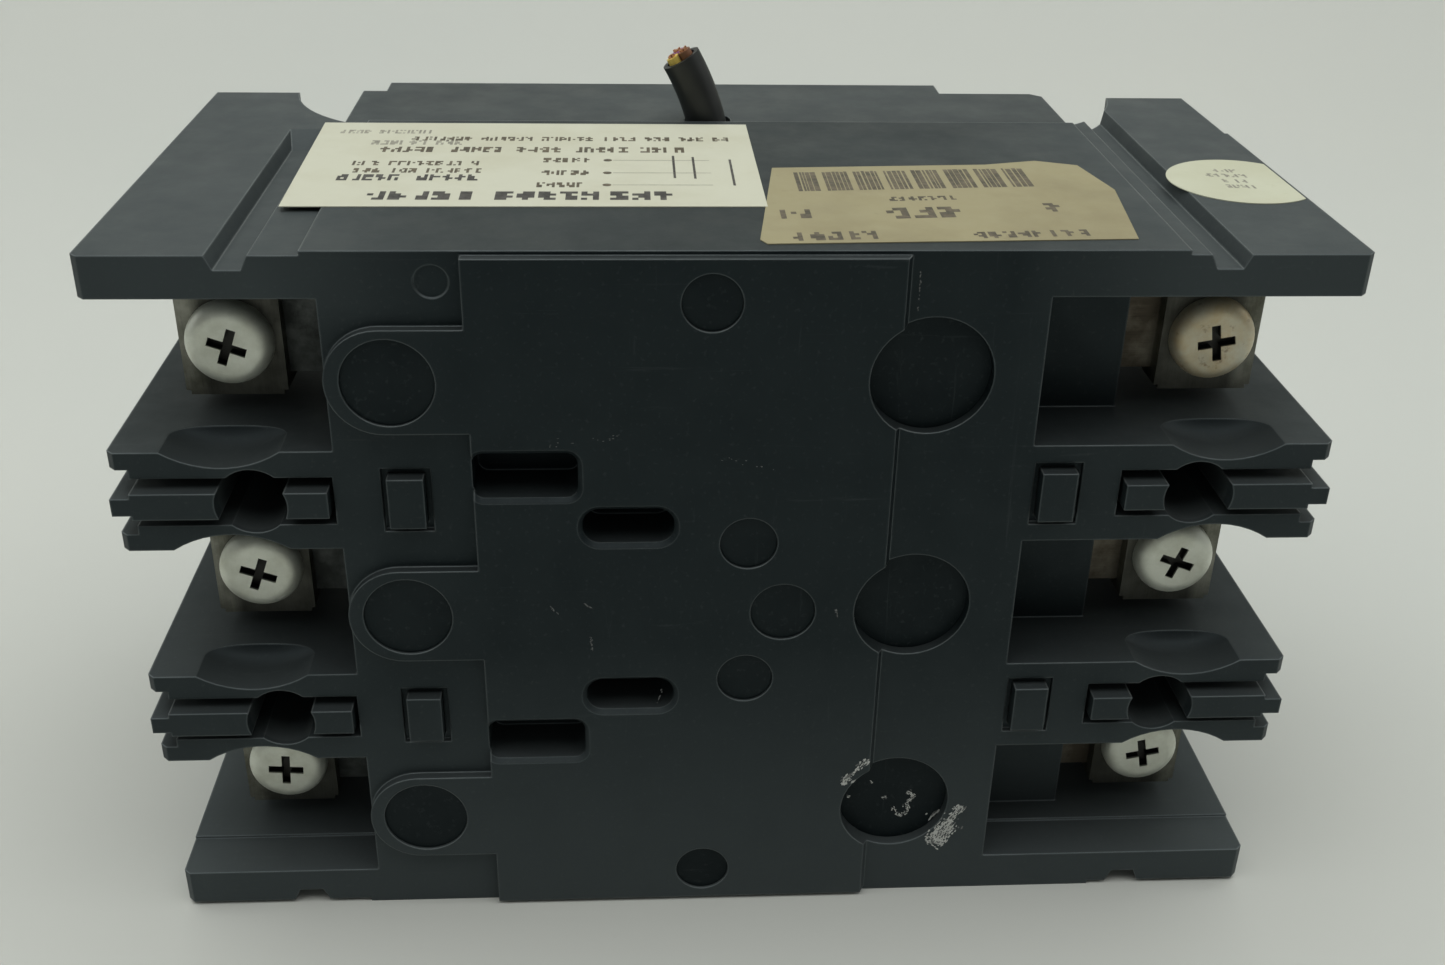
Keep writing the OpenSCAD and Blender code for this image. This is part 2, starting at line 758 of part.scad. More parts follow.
module strap_screws() {
    color([0.35, 0.35, 0.36]) for (xc = [line_recess_x, seal_x], zc = pole_z) difference() {
        union() {
            y_rod(xc, zc, strap_screw_head_r, recess_floor - strap_screw_head_t, recess_floor);
            y_rod(xc, zc, strap_screw_r, recess_floor - cut, strap_y[1]);
        }
        block([xc - driver_slot_w / 2, xc + driver_slot_w / 2],
            [0, recess_floor - strap_screw_head_t + driver_slot_depth], [zc - seal_r, zc + seal_r]);
    }
}

// Plugs of sealing compound over the strap screws, the frame screws and two empty recesses
module screw_seals() {
    color([0.09, 0.09, 0.1]) {
        for (zc = pole_z) {
            y_rod(seal_x, zc, seal_r - seal_gap, seal_sink, seal_sink + seal_t);
            y_rod(line_recess_x, zc, line_recess_r - seal_gap, plug_sink, plug_sink + seal_t);
        }
        for (p = pin_recess) y_rod(p[0], p[1], p[2] - seal_gap, plug_sink, plug_sink + seal_t);
    }
}

module fixed_contacts() {
    color([0.82, 0.82, 0.8]) for (zc = pole_z)
        block(contact_x, [strap_y[1], contact_y], [zc - fixed_contact_half, zc + fixed_contact_half]);
}

module arc_plates() {
    color([0.5, 0.5, 0.52]) for (zc = pole_z, i = [0 : plate_count - 1]) {
        y0 = plate_first_y + i * plate_pitch;
        difference() {
            block(plate_x, [y0, y0 + plate_t], [zc - plate_half, zc + plate_half]);
            block([notch_x, plate_x[1] + cut], [y0 - cut, y0 + plate_t + cut],
                [zc - notch_half, zc + notch_half]);
        }
    }
}

module arc_side_sheets() {
    color([0.55, 0.2, 0.12]) for (zc = pole_z, s = [-1, 1])
        block(plate_x, sheet_y,
            s > 0 ? [zc + sheet_z[0], zc + sheet_z[1]] : [zc - sheet_z[1], zc - sheet_z[0]]);
}

module bimetals() {
    color([0.66, 0.62, 0.55]) for (zc = pole_z) difference() {
        slab(zc - bimetal_half, zc + bimetal_half) {
            translate([foot_x[0], strap_y[1]]) square([foot_x[1] - foot_x[0], foot_t]);
            translate([foot_x[1] - foot_t, strap_y[1]]) square([foot_t, bimetal_top - strap_y[1]]);
            translate([foot_x[0], strap_y[1]]) square([foot_t, foot_tab_y - strap_y[1]]);
        }
        x_rod(cal_y, zc, cal_r + slip, foot_x[1] - foot_t - cut, foot_x[1] + cut);
    }
}

module calibration_screws() {
    color([0.7, 0.6, 0.35]) for (zc = pole_z) {
        x_rod(cal_y, zc, cal_r, cal_head_x, cal_x[1]);
        x_rod(cal_y, zc, cal_head_r, cal_head_x, cal_x[0]);
    }
}

module magnet_yokes() {
    color([0.42, 0.43, 0.45]) for (zc = pole_z) {
        block([core_back_x, core_x[1]], core_y, [zc - core_z[1], zc + core_z[1]]);
        block([core_back_x, core_x[1]], [strap_y[1], core_y[0] + cut],
            [zc - bimetal_half, zc + bimetal_half]);
        for (s = [-1, 1])
            block([core_x[0], core_back_x + cut], core_y,
                s > 0 ? [zc + core_z[0], zc + core_z[1]] : [zc - core_z[1], zc - core_z[0]]);
    }
}

module armature(zc) {
    color([0.45, 0.46, 0.48]) {
        block(armature_x, armature_y, [zc - core_z[1], zc + core_z[1]]);
        for (s = [-1, 1])
            block([armature_x[0], armature_arm_x], armature_arm_y,
                s > 0 ? [zc + armature_arm_z, zc + core_z[1]] : [zc - core_z[1], zc - armature_arm_z]);
        z_rod(armature_pin[0], armature_pin[1], armature_pin_r,
            zc - armature_pin_half, zc + armature_pin_half);
    }
}

module armature_a() { armature(pole_z[0]); }
module armature_b() { armature(pole_z[1]); }
module armature_c() { armature(pole_z[2]); }

module mechanism_frame() {
    color([0.6, 0.6, 0.56]) difference() {
        union() {
            both_sides() slab(frame_z[0], frame_z[1]) polygon(frame_outline);
            block(frame_foot_x, [bay_floor, bay_floor + frame_foot_t], [-frame_z[1], frame_z[1]]);
            both_sides() z_rod(handle_pivot[0], handle_pivot[1], pivot_pin_r,
                yoke_z[0] - pivot_pin_proud, frame_z[1]);
            both_sides() z_rod(cradle_pivot[0], cradle_pivot[1], pivot_pin_r, cradle_z[0], frame_z[1]);
        }
        for (p = pin_recess) if (abs(p[1]) < bay_half)
            y_rod(p[0], p[1], fixing_r + slip, bay_floor - cut, bay_floor + frame_foot_t + cut);
    }
}

module frame_screws() {
    color([0.6, 0.6, 0.58]) for (p = pin_recess) if (abs(p[1]) < bay_half) difference() {
        union() {
            y_rod(p[0], p[1], fixing_r, pin_recess_depth - cut, bay_floor + frame_foot_t);
            y_rod(p[0], p[1], frame_head_r, pin_recess_depth - frame_head_t, pin_recess_depth);
        }
        block([p[0] - fixing_head_r, p[0] + fixing_head_r],
            [0, pin_recess_depth - frame_head_t + frame_slot_depth],
            [p[1] - driver_slot_w / 2, p[1] + driver_slot_w / 2]);
    }
}

module handle_yoke() {
    color([0.62, 0.62, 0.6]) turned(handle_pivot, -handle_swing / 2) difference() {
        union() {
            both_sides() slab(yoke_z[0], yoke_z[1]) {
                polygon([
                    [handle_pivot[0] - yoke_foot_r, handle_pivot[1]],
                    [handle_pivot[0] + yoke_foot_r, handle_pivot[1]],
                    [handle_pivot[0] + yoke_top_half, yoke_top_y + yoke_t],
                    [handle_pivot[0] - yoke_top_half, yoke_top_y + yoke_t]
                ]);
                translate(handle_pivot) circle(r = yoke_foot_r);
            }
            block([handle_pivot[0] - yoke_top_half, handle_pivot[0] + yoke_top_half],
                [yoke_top_y, yoke_top_y + yoke_t], [-yoke_z[1], yoke_z[1]]);
        }
        z_rod(handle_pivot[0], handle_pivot[1], pivot_pin_r + slip, -yoke_z[1] - cut, yoke_z[1] + cut);
    }
}

module handle() {
    x = handle_pivot[0];
    top = front_y + handle_height;
    color([0.08, 0.08, 0.09]) turned(handle_pivot, -handle_swing / 2) {
        block([x - handle_foot_half_x, x + handle_foot_half_x], [yoke_top_y + yoke_t, handle_foot_top],
            [-handle_foot_half_z, handle_foot_half_z]);
        slab(-handle_half_z, handle_half_z) {
            translate([x - handle_half_x, handle_foot_top - cut])
                square([2 * handle_half_x, top - grip_r - handle_foot_top + cut]);
            translate([x - handle_half_x + grip_r, handle_foot_top])
                square([2 * (handle_half_x - grip_r), top - handle_foot_top]);
            for (s = [-1, 1])
                translate([x + s * (handle_half_x - grip_r), top - grip_r]) circle(r = grip_r);
        }
    }
}

module handle_shutter() {
    reach = (shutter_y[0] + shutter_y[1]) / 2 - handle_pivot[1];
    xc = handle_pivot[0] + reach * tan(handle_swing / 2);
    color([0.09, 0.09, 0.1]) difference() {
        block([xc - shutter_half_x, xc + shutter_half_x], shutter_y, [-shutter_half_z, shutter_half_z]);
        block([xc - shutter_hole_half, xc + shutter_hole_half], [shutter_y[0] - cut, shutter_y[1] + cut],
            [-handle_half_z - shutter_slot_gap, handle_half_z + shutter_slot_gap]);
    }
}

module contact_arm(zc) {
    color([0.76, 0.48, 0.28]) turned([bar_x, bar_y], -blade_swing)
        slab(zc - arm_half, zc + arm_half) polygon(blade_outline);
}

module blade_a() { contact_arm(pole_z[0]); }
module blade_b() { contact_arm(pole_z[1]); }
module blade_c() { contact_arm(pole_z[2]); }

module moving_contacts() {
    color([0.84, 0.84, 0.82]) turned([bar_x, bar_y], -blade_swing) for (zc = pole_z)
        block(contact_x, [contact_y + contact_gap, blade_outline[0][1]],
            [zc - contact_half, zc + contact_half]);
}

module crossbar() {
    color([0.3, 0.16, 0.1]) turned([bar_x, bar_y], -blade_swing) difference() {
        union() {
            z_rod(bar_x, bar_y, bar_r, -bar_half, bar_half);
            for (zc = pole_z) slab(zc - holder_half, zc + holder_half) polygon(holder_outline);
        }
        for (zc = pole_z) slab(zc - arm_half - press, zc + arm_half + press) blade_seat();
        z_rod(pin_on[0], pin_on[1], link_pin_r + press, -holder_half - cut, holder_half + cut);
    }
}

// Blade outline grown sideways so that its copper sits clear in the moulding
module blade_seat() {
    translate([0, press]) polygon(blade_outline);
    translate([0, -press]) polygon(blade_outline);
}

module crossbar_pin() {
    color([0.66, 0.66, 0.64]) turned([bar_x, bar_y], -blade_swing)
        z_rod(pin_on[0], pin_on[1], link_pin_r, -knee_half, knee_half);
}

// Open position of the link pin and of the knee
open_dx = pin_on[0] - bar_x;
open_dy = pin_on[1] - bar_y;
pin_off = [
    bar_x + open_dx * cos(blade_swing) + open_dy * sin(blade_swing),
    bar_y - open_dx * sin(blade_swing) + open_dy * cos(blade_swing)
];
span = norm(cradle_pin - pin_off);
along = (lower_len * lower_len - upper_len * upper_len + span * span) / (2 * span);
aside = sqrt(lower_len * lower_len - along * along);
unit = (cradle_pin - pin_off) / span;
knee_off = pin_off + along * unit + aside * [unit[1], -unit[0]];
lower_angle = atan2(knee_off[1] - pin_off[1], knee_off[0] - pin_off[0]);
upper_angle = atan2(knee_off[1] - cradle_pin[1], knee_off[0] - cradle_pin[0]);

module link_plate(start, angle, length, hole_r) {
    translate(start) rotate([0, 0, angle]) difference() {
        union() {
            translate([0, -link_half]) square([length, 2 * link_half]);
            circle(r = link_half);
            translate([length, 0]) circle(r = link_half);
        }
        circle(r = hole_r);
    }
}

module lower_link() {
    color([0.64, 0.64, 0.6]) both_sides() slab(lower_z[0], lower_z[1]) difference() {
        link_plate(pin_off, lower_angle, lower_len, link_pin_r + slip);
        translate(knee_off) circle(r = knee_r + press);
    }
}

module knee_pin() {
    color([0.7, 0.7, 0.68]) z_rod(knee_off[0], knee_off[1], knee_r, -knee_half, knee_half);
}

// Upper link, its lower end notched from below so that it hooks onto the knee pin
module upper_link() {
    color([0.66, 0.66, 0.62]) both_sides() slab(upper_z[0], upper_z[1]) difference() {
        link_plate(cradle_pin, upper_angle, upper_len, link_pin_r + slip);
        translate(cradle_pin) rotate([0, 0, upper_angle]) {
            translate([upper_len - fork_depth, 0]) circle(r = fork_half);
            translate([upper_len - fork_depth, -2 * link_half])
                square([3 * link_half, 2 * link_half + fork_half]);
        }
    }
}

module cradle() {
    color([0.58, 0.58, 0.55]) difference() {
        union() {
            both_sides() slab(cradle_z[0], cradle_z[1]) polygon(cradle_outline);
            block(nose_x, nose_y, [-cradle_z[1], cradle_z[1]]);
            both_sides() z_rod(cradle_pin[0], cradle_pin[1], link_pin_r, cradle_pin_z, cradle_z[1]);
        }
        z_rod(cradle_pivot[0], cradle_pivot[1], pivot_pin_r + slip, -frame_z[1], frame_z[1]);
    }
}

module toggle_springs() {
    top = [
        handle_pivot[0] + (yoke_top_y - handle_pivot[1]) * sin(handle_swing / 2),
        handle_pivot[1] + (yoke_top_y - handle_pivot[1]) * cos(handle_swing / 2)
    ];
    reach = norm(top - knee_off);
    lean = atan2(top[1] - knee_off[1], top[0] - knee_off[0]);
    step = (reach - 2 * spring_first) / (spring_turns - 1);
    color([0.6, 0.6, 0.58]) for (s = [-1, 1])
        translate([knee_off[0], knee_off[1], s * spring_z]) rotate([0, 0, lean]) rotate([0, 90, 0]) {
            for (i = [0 : spring_turns - 1]) translate([0, 0, spring_first + i * step])
                rotate_extrude() translate([spring_coil_r, 0]) circle(r = spring_wire_r, $fn = 16);
            translate([spring_coil_r, 0, knee_r + spring_tie_gap])
                cylinder(r = spring_tie_r, h = reach - knee_r - spring_tie_short);
        }
}

module flexible_braids() {
    color([0.74, 0.46, 0.26]) for (zc = pole_z, s = [-1, 1])
        x_rod(braid_y, zc + s * braid_z, braid_r, braid_x, foot_x[0]);
}

module trip_bar() {
    color([0.28, 0.15, 0.1]) {
        z_rod(trip_x, trip_y, trip_r, -trip_half, trip_half);
        for (zc = pole_z) block(leg_x, [leg_y, trip_y], [zc - leg_half, zc + leg_half]);
        block([trip_arm_x, trip_x], trip_arm_y, [button_z - trip_arm_half, button_z + trip_arm_half]);
    }
}

module trip_bar_spring() {
    color([0.6, 0.6, 0.58]) {
        for (i = [0 : trip_spring_turns - 1])
            translate([trip_x, trip_y, trip_spring_z + trip_spring_pitch * i])
                rotate_extrude() translate([trip_spring_r, 0]) circle(r = trip_spring_wire_r, $fn = 16);
        z_rod(trip_x + trip_spring_r, trip_y, spring_tie_r,
            trip_spring_z, trip_spring_z + trip_spring_pitch * (trip_spring_turns - 1));
    }
}

module trip_button() {
    color([0.62, 0.1, 0.08]) {
        y_rod(button_x, button_z, button_tip_r, button_tip_y, button_shank_y + cut);
        y_rod(button_x, button_z, button_r, button_shank_y, front_y + button_proud);
        y_rod(button_x, button_z, button_collar_r, button_collar_y[0], button_collar_y[1]);
    }
}

module alarm_switch() {
    color([0.15, 0.15, 0.17]) {
        block(switch_x, switch_y, switch_z);
        block(switch_block_x, [switch_block_y[0], switch_y[0] + cut], switch_block_z);
        block(switch_block_x, switch_y, [switch_z[1] - cut, switch_block_z[1]]);
        y_rod(plunger_at[0], plunger_at[1], plunger_r, plunger_y, switch_y[0] + cut);
    }
}

module alarm_lever() {
    color([0.75, 0.72, 0.62]) {
        z_rod(lever_x, lever_y, lever_r - press, lever_z[0], lever_z[1]);
        block([lever_x, lever_arm_x], lever_arm_y, lever_foot_z);
        block([lever_x, lever_tip_x], lever_arm_y, [lever_tip_z, lever_z[1]]);
    }
}

// Rod on the arc of the alarm cable, set off from its centre line by ox and oy
module cable_rod(r, ox, oy, angle) {
    translate([cable_x - cable_bend_r, cable_y, cable_start_z]) rotate([90, 0, 0])
        rotate_extrude(angle = angle) translate([cable_bend_r + ox, -oy]) circle(r = r);
}

module alarm_cable() {
    color([0.05, 0.05, 0.055]) difference() {
        cable_rod(cable_r, 0, 0, cable_lean);
        cable_rod(cable_bore_r, 0, 0, cable_lean);
    }
}

module cable_wire(turn) {
    cable_rod(wire_r, wire_ring * cos(turn), wire_ring * sin(turn), cable_lean + wire_proud_angle);
}

module wire_yellow() { color([0.8, 0.66, 0.1]) cable_wire(210); }
module wire_brown() { color([0.3, 0.16, 0.08]) cable_wire(330); }
module wire_purple() { color([0.4, 0.16, 0.45]) cable_wire(90); }

module alarm_label() {
    color([0.87, 0.86, 0.8]) slab(panel_z, panel_z + label_t) polygon(alarm_corners);
}

module rating_label() {
    color([0.6, 0.54, 0.42]) slab(panel_z, panel_z + label_t) difference() {
        polygon(rating_corners);
        polygon(alarm_corners);
    }
}

module inspection_sticker() {
    color([0.85, 0.85, 0.82]) slab(half_width, half_width + label_t) intersection() {
        translate(sticker_centre) circle(r = sticker_r);
        square([half_length - end_step, end_step_y]);
    }
}

base();
cover();
cover_screws();
cover_nuts();
line_straps();
load_straps();
line_lug_a();
line_lug_b();
line_lug_c();
load_lug_a();
load_lug_b();
load_lug_c();
lug_mount_screws();
line_bind_screw_a();
line_bind_screw_b();
line_bind_screw_c();
load_bind_screw_a();
load_bind_screw_b();
load_bind_screw_c();
strap_screws();
screw_seals();
fixed_contacts();
arc_plates();
arc_side_sheets();
bimetals();
calibration_screws();
magnet_yokes();
mechanism_frame();
frame_screws();
handle();
handle_yoke();
handle_shutter();
toggle_springs();
crossbar();
crossbar_pin();
blade_a();
blade_b();
blade_c();
moving_contacts();
flexible_braids();
lower_link();
knee_pin();
cradle();
upper_link();
trip_bar();
trip_bar_spring();
trip_button();
armature_a();
armature_b();
armature_c();
alarm_switch();
alarm_lever();
alarm_cable();
wire_yellow();
wire_brown();
wire_purple();
alarm_label();
rating_label();
inspection_sticker();
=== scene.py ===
import math
import random

import bmesh
import bpy
from mathutils import Matrix, Vector


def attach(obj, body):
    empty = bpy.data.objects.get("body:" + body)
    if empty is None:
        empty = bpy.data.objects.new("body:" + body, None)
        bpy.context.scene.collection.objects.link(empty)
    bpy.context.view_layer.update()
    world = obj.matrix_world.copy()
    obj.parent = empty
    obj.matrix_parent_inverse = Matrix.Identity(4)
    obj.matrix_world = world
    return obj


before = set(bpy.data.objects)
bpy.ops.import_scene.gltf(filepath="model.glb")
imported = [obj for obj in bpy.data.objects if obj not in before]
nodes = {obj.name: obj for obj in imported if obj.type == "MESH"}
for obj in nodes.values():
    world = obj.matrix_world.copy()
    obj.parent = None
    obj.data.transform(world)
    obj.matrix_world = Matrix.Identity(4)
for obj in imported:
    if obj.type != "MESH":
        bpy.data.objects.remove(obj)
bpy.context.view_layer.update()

# Lengths on the object are in millimetres, times MM where Blender reads them; the stage and the
# lights are in metres
MM = 0.001
POLE = 34.925
LUG_X = 66.5
MOUNT_X = 63
HALF_WIDTH = 52
FLANGE_Z = 51.4
PANEL_X = (-34.1, 21.1)
SKIN_Y = 1.4
SEAL_X, SEAL_R, SEAL_Y = 25.4, 8.2, 3.0
LABEL_T = 0.12
INK = 0.012  # how far print and paint lie off the surface below them

# Camera: place it looks at, distance, angles in degrees and focal length
CAM_TARGET = Vector((-1.432, 0, 20.422))
CAM_DISTANCE = 205.54
CAM_AZ, CAM_EL, CAM_ROLL = -3.698, 28.067, 1.206
CAM_LENS = 38.88


# ---------------------------------------------------------------- camera
def make_camera():
    """Camera at the place and angle that show the back of the object from above."""
    az, el, roll = math.radians(CAM_AZ), math.radians(CAM_EL), math.radians(CAM_ROLL)
    back = Vector((math.sin(az) * math.cos(el), -math.cos(az) * math.cos(el), math.sin(el)))
    right = Vector((math.cos(az), math.sin(az), 0))
    up = right.cross(-back)
    rolled_right = right * math.cos(roll) + up * math.sin(roll)
    rolled_up = -right * math.sin(roll) + up * math.cos(roll)
    place = (CAM_TARGET + back * CAM_DISTANCE) * MM
    data = bpy.data.cameras.new("camera")
    data.sensor_width = 36
    data.lens = CAM_LENS
    data.clip_start = 0.01
    data.clip_end = 20
    cam = bpy.data.objects.new("camera", data)
    turn = Matrix((rolled_right, rolled_up, back)).transposed()
    cam.matrix_world = Matrix.Translation(place) @ turn.to_4x4()
    bpy.context.scene.collection.objects.link(cam)
    bpy.context.scene.camera = cam


make_camera()


# ---------------------------------------------------------------- shader helpers
class Shader:
    """One procedural material, with short names for the nodes it uses."""

    def __init__(self, name):
        self.mat = bpy.data.materials.new(name)
        self.mat.use_nodes = True
        self.nt = self.mat.node_tree
        self.bsdf = self.nt.nodes["Principled BSDF"]
        self.coord = self.nt.nodes.new("ShaderNodeTexCoord").outputs["Object"]

    def link(self, a, b):
        self.nt.links.new(a, b)

    def node(self, kind):
        return self.nt.nodes.new(kind)

    def scaled(self, sx, sy, sz):
        m = self.node("ShaderNodeMapping")
        m.inputs["Scale"].default_value = (sx, sy, sz)
        self.link(self.coord, m.inputs["Vector"])
        return m.outputs["Vector"]

    def noise(self, scale, detail=3.0, rough=0.55, vector=None, distort=0.0):
        n = self.node("ShaderNodeTexNoise")
        n.inputs["Scale"].default_value = scale
        n.inputs["Detail"].default_value = detail
        n.inputs["Roughness"].default_value = rough
        n.inputs["Distortion"].default_value = distort
        self.link(vector or self.coord, n.inputs["Vector"])
        return n.outputs["Fac"]

    def ramp(self, fac, lo, hi, a=0.0, b=1.0):
        r = self.node("ShaderNodeMapRange")
        r.clamp = True
        for key, v in (("From Min", lo), ("From Max", hi), ("To Min", a), ("To Max", b)):
            r.inputs[key].default_value = v
        self.link(fac, r.inputs["Value"])
        return r.outputs["Result"]

    def mix(self, fac, a, b):
        m = self.node("ShaderNodeMix")
        m.data_type = "RGBA"
        self.link(fac, m.inputs["Factor"])
        for socket, v in ((m.inputs[6], a), (m.inputs[7], b)):
            if isinstance(v, tuple):
                socket.default_value = (*v, 1)
            else:
                self.link(v, socket)
        return m.outputs[2]

    def math(self, op, a, b=None):
        m = self.node("ShaderNodeMath")
        m.operation = op
        for socket, v in ((m.inputs[0], a), (m.inputs[1], b)):
            if v is None:
                continue
            if isinstance(v, (int, float)):
                socket.default_value = v
            else:
                self.link(v, socket)
        return m.outputs[0]

    def near(self, point, radius, soft):
        """1 inside radius of a point given in millimetres, falling to 0 over soft."""
        d = self.node("ShaderNodeVectorMath")
        d.operation = "DISTANCE"
        self.link(self.coord, d.inputs[0])
        d.inputs[1].default_value = [v * MM for v in point]
        return self.ramp(d.outputs["Value"], radius * MM, (radius + soft) * MM, 1, 0)

    def bore(self, x, z, radius, depth):
        """1 inside a round hole along Y, below its mouth at depth; lengths in millimetres."""
        part = self.node("ShaderNodeSeparateXYZ")
        self.link(self.coord, part.inputs[0])
        dx = self.math("SUBTRACT", part.outputs["X"], x * MM)
        dz = self.math("SUBTRACT", part.outputs["Z"], z * MM)
        squared = self.math("ADD", self.math("MULTIPLY", dx, dx), self.math("MULTIPLY", dz, dz))
        inside = self.ramp(squared, (radius * MM) ** 2, ((radius + 0.15) * MM) ** 2, 1, 0)
        below = self.ramp(part.outputs["Y"], depth * MM, (depth + 0.3) * MM)
        return self.math("MULTIPLY", inside, below)

    def facing_up(self):
        """1 on faces that look up along +Z, 0 on upright ones."""
        g = self.node("ShaderNodeNewGeometry")
        s = self.node("ShaderNodeSeparateXYZ")
        self.link(g.outputs["Normal"], s.inputs[0])
        return self.ramp(s.outputs["Z"], 0.35, 1.0)

    def rounded(self, radius_mm):
        """Normal rounded over the sharp edges, and a mask that is 1 on those edges."""
        b = self.node("ShaderNodeBevel")
        b.samples = 8
        b.inputs["Radius"].default_value = radius_mm * MM
        dot = self.node("ShaderNodeVectorMath")
        dot.operation = "DOT_PRODUCT"
        self.link(self.node("ShaderNodeNewGeometry").outputs["Normal"], dot.inputs[0])
        self.link(b.outputs["Normal"], dot.inputs[1])
        return b.outputs["Normal"], self.ramp(dot.outputs["Value"], 0.985, 0.86)

    def bump(self, height, strength, distance_mm, before=None):
        b = self.node("ShaderNodeBump")
        b.inputs["Strength"].default_value = strength
        b.inputs["Distance"].default_value = distance_mm * MM
        self.link(height, b.inputs["Height"])
        if before is not None:
            self.link(before, b.inputs["Normal"])
        return b.outputs["Normal"]

    def finish(self, color, rough, normal, metallic=0.0, specular=0.5):
        self.bsdf.inputs["Metallic"].default_value = metallic
        self.bsdf.inputs["Specular IOR Level"].default_value = specular
        self.link(color, self.bsdf.inputs["Base Color"])
        if isinstance(rough, float):
            self.bsdf.inputs["Roughness"].default_value = rough
        else:
            self.link(rough, self.bsdf.inputs["Roughness"])
        self.link(normal, self.bsdf.inputs["Normal"])
        return self.mat


def moulded(name, dark, light, dust_and_top_light_amount, rough=(0.42, 0.6), grain=0.5, specular=0.5,
            bores=(), low_end_tone=None, edge_mm=0.0):
    """Moulding: blotchy colour, fine grain, dust with painted top light on upper faces, rubbed scratches,
    rounded edges with wear and painted highlight.

    A lighter colour is mixed in towards the lower side and the outer ends; bores are the dusty round holes.
    """
    s = Shader(name)
    blotch = s.ramp(s.noise(55, 4, 0.6), 0.35, 0.68)
    speck = s.ramp(s.noise(1400, 2, 0.5), 0.6, 0.78)
    color = s.mix(blotch, dark, light)
    # lighter towards the lower side and the outer ends
    if low_end_tone:
        part = s.node("ShaderNodeSeparateXYZ")
        s.link(s.coord, part.inputs[0])
        low = s.ramp(part.outputs["Z"], -5 * MM, -HALF_WIDTH * MM)
        outer_z = s.ramp(s.math("ABSOLUTE", part.outputs["Z"]), 41 * MM, 45 * MM, 0.3, 0.8)
        outer_x = s.ramp(s.math("ABSOLUTE", part.outputs["X"]), 35 * MM, 60 * MM)
        color = s.mix(s.math("MAXIMUM", low, s.math("MULTIPLY", outer_x, outer_z)), color, low_end_tone)
    s.bsdf.inputs["Specular Tint"].default_value = (0.8, 0.98, 1.05, 1)
    color = s.mix(s.math("MULTIPLY", speck, 0.1), color, DUST_AND_TOP_LIGHT)
    rub = s.ramp(s.noise(9, 6, 0.75, s.scaled(3.0, 90.0, 55.0), 0.6), 0.62, 0.7)
    cross = s.ramp(s.noise(8, 6, 0.75, s.scaled(70.0, 60.0, 4.0), 0.8), 0.64, 0.72)
    scratches = s.math("MULTIPLY", s.math("MAXIMUM", rub, cross), 0.1)
    color = s.mix(scratches, color, DUST_AND_TOP_LIGHT)
    # dust on upward faces, with painted top light: the cloud lightens the faces that look up, where the top
    # light falls
    cloud = s.ramp(s.noise(28, 5, 0.65), 0.25, 0.75, dust_and_top_light_amount * 0.45, dust_and_top_light_amount)
    dust_and_top_light_film = s.math("MULTIPLY", s.facing_up(), cloud)
    color = s.mix(dust_and_top_light_film, color, DUST_AND_TOP_LIGHT)
    for x, z, radius, depth, fill in bores:
        color = s.mix(s.math("MULTIPLY", s.bore(x, z, radius, depth), fill), color, DUST_AND_TOP_LIGHT)
    r = s.ramp(s.noise(120, 4, 0.6), 0.3, 0.7, rough[0], rough[1])
    r = s.math("ADD", r, s.math("MULTIPLY", dust_and_top_light_film, 0.1))
    normal = None
    if edge_mm:
        normal, edge = s.rounded(edge_mm)
        tilt = s.node("ShaderNodeSeparateXYZ")
        s.link(normal, tilt.inputs[0])
        # edge wear with painted highlight: rounded edges turn lighter, more where they face up towards the
        # top light
        edge_wear_and_highlight = s.math("MULTIPLY", edge, s.ramp(s.noise(90, 4, 0.6), 0.3, 0.65, 0.45, 1.0))
        edge_wear_and_highlight = s.math("MULTIPLY", edge_wear_and_highlight, s.ramp(tilt.outputs["Z"], 0.1, 0.6, 0.3, 1.0))
        color = s.mix(edge_wear_and_highlight, color, EDGE_WEAR_AND_HIGHLIGHT)
        r = s.math("SUBTRACT", r, s.math("MULTIPLY", edge, 0.16))
        shine = s.ramp(edge, 0, 1, specular, specular + 0.35)
        s.link(shine, s.bsdf.inputs["Specular IOR Level"])
    normal = s.bump(s.noise(2600, 2, 0.5), grain, 0.012, normal)
    normal = s.bump(s.noise(160, 3, 0.5), 0.35, 0.05, normal)
    normal = s.bump(scratches, 0.3, 0.01, normal)
    return s.finish(color, r, normal, 0.0, specular)


def metal(name, clean, stained, rough=(0.3, 0.5), stain=(0.45, 0.7), grain=(40, 900, 40), metallic=1.0):
    """Plated, drawn or rolled metal: directional grain, stains and small pits."""
    s = Shader(name)
    blot = s.ramp(s.noise(150, 5, 0.65), stain[0], stain[1])
    color = s.mix(blot, clean, stained)
    line = s.noise(6, 3, 0.6, s.scaled(*grain))
    r = s.math("ADD", s.ramp(line, 0.3, 0.7, rough[0], rough[1]), s.math("MULTIPLY", blot, 0.15))
    normal = s.bump(line, 0.25, 0.02)
    normal = s.bump(s.ramp(s.noise(1100, 3, 0.6), 0.35, 0.5), 0.3, 0.03, normal)
    return s.finish(color, r, normal, metallic)


def paper(name, clean, stained):
    """Coated label paper: yellowing, small stains and a faint fibre."""
    s = Shader(name)
    age = s.ramp(s.noise(45, 5, 0.6), 0.45, 0.75)
    color = s.mix(age, clean, stained)
    spot = s.ramp(s.noise(420, 4, 0.6), 0.66, 0.74, 0, 0.45)
    color = s.mix(spot, color, stained)
    normal = s.bump(s.noise(1500, 3, 0.6), 0.3, 0.012)
    normal = s.bump(s.noise(70, 2, 0.5), 0.3, 0.12, normal)
    r = s.ramp(s.noise(200, 3), 0.3, 0.7, 0.54, 0.7)
    return s.finish(color, r, normal, 0.0, 0.4)


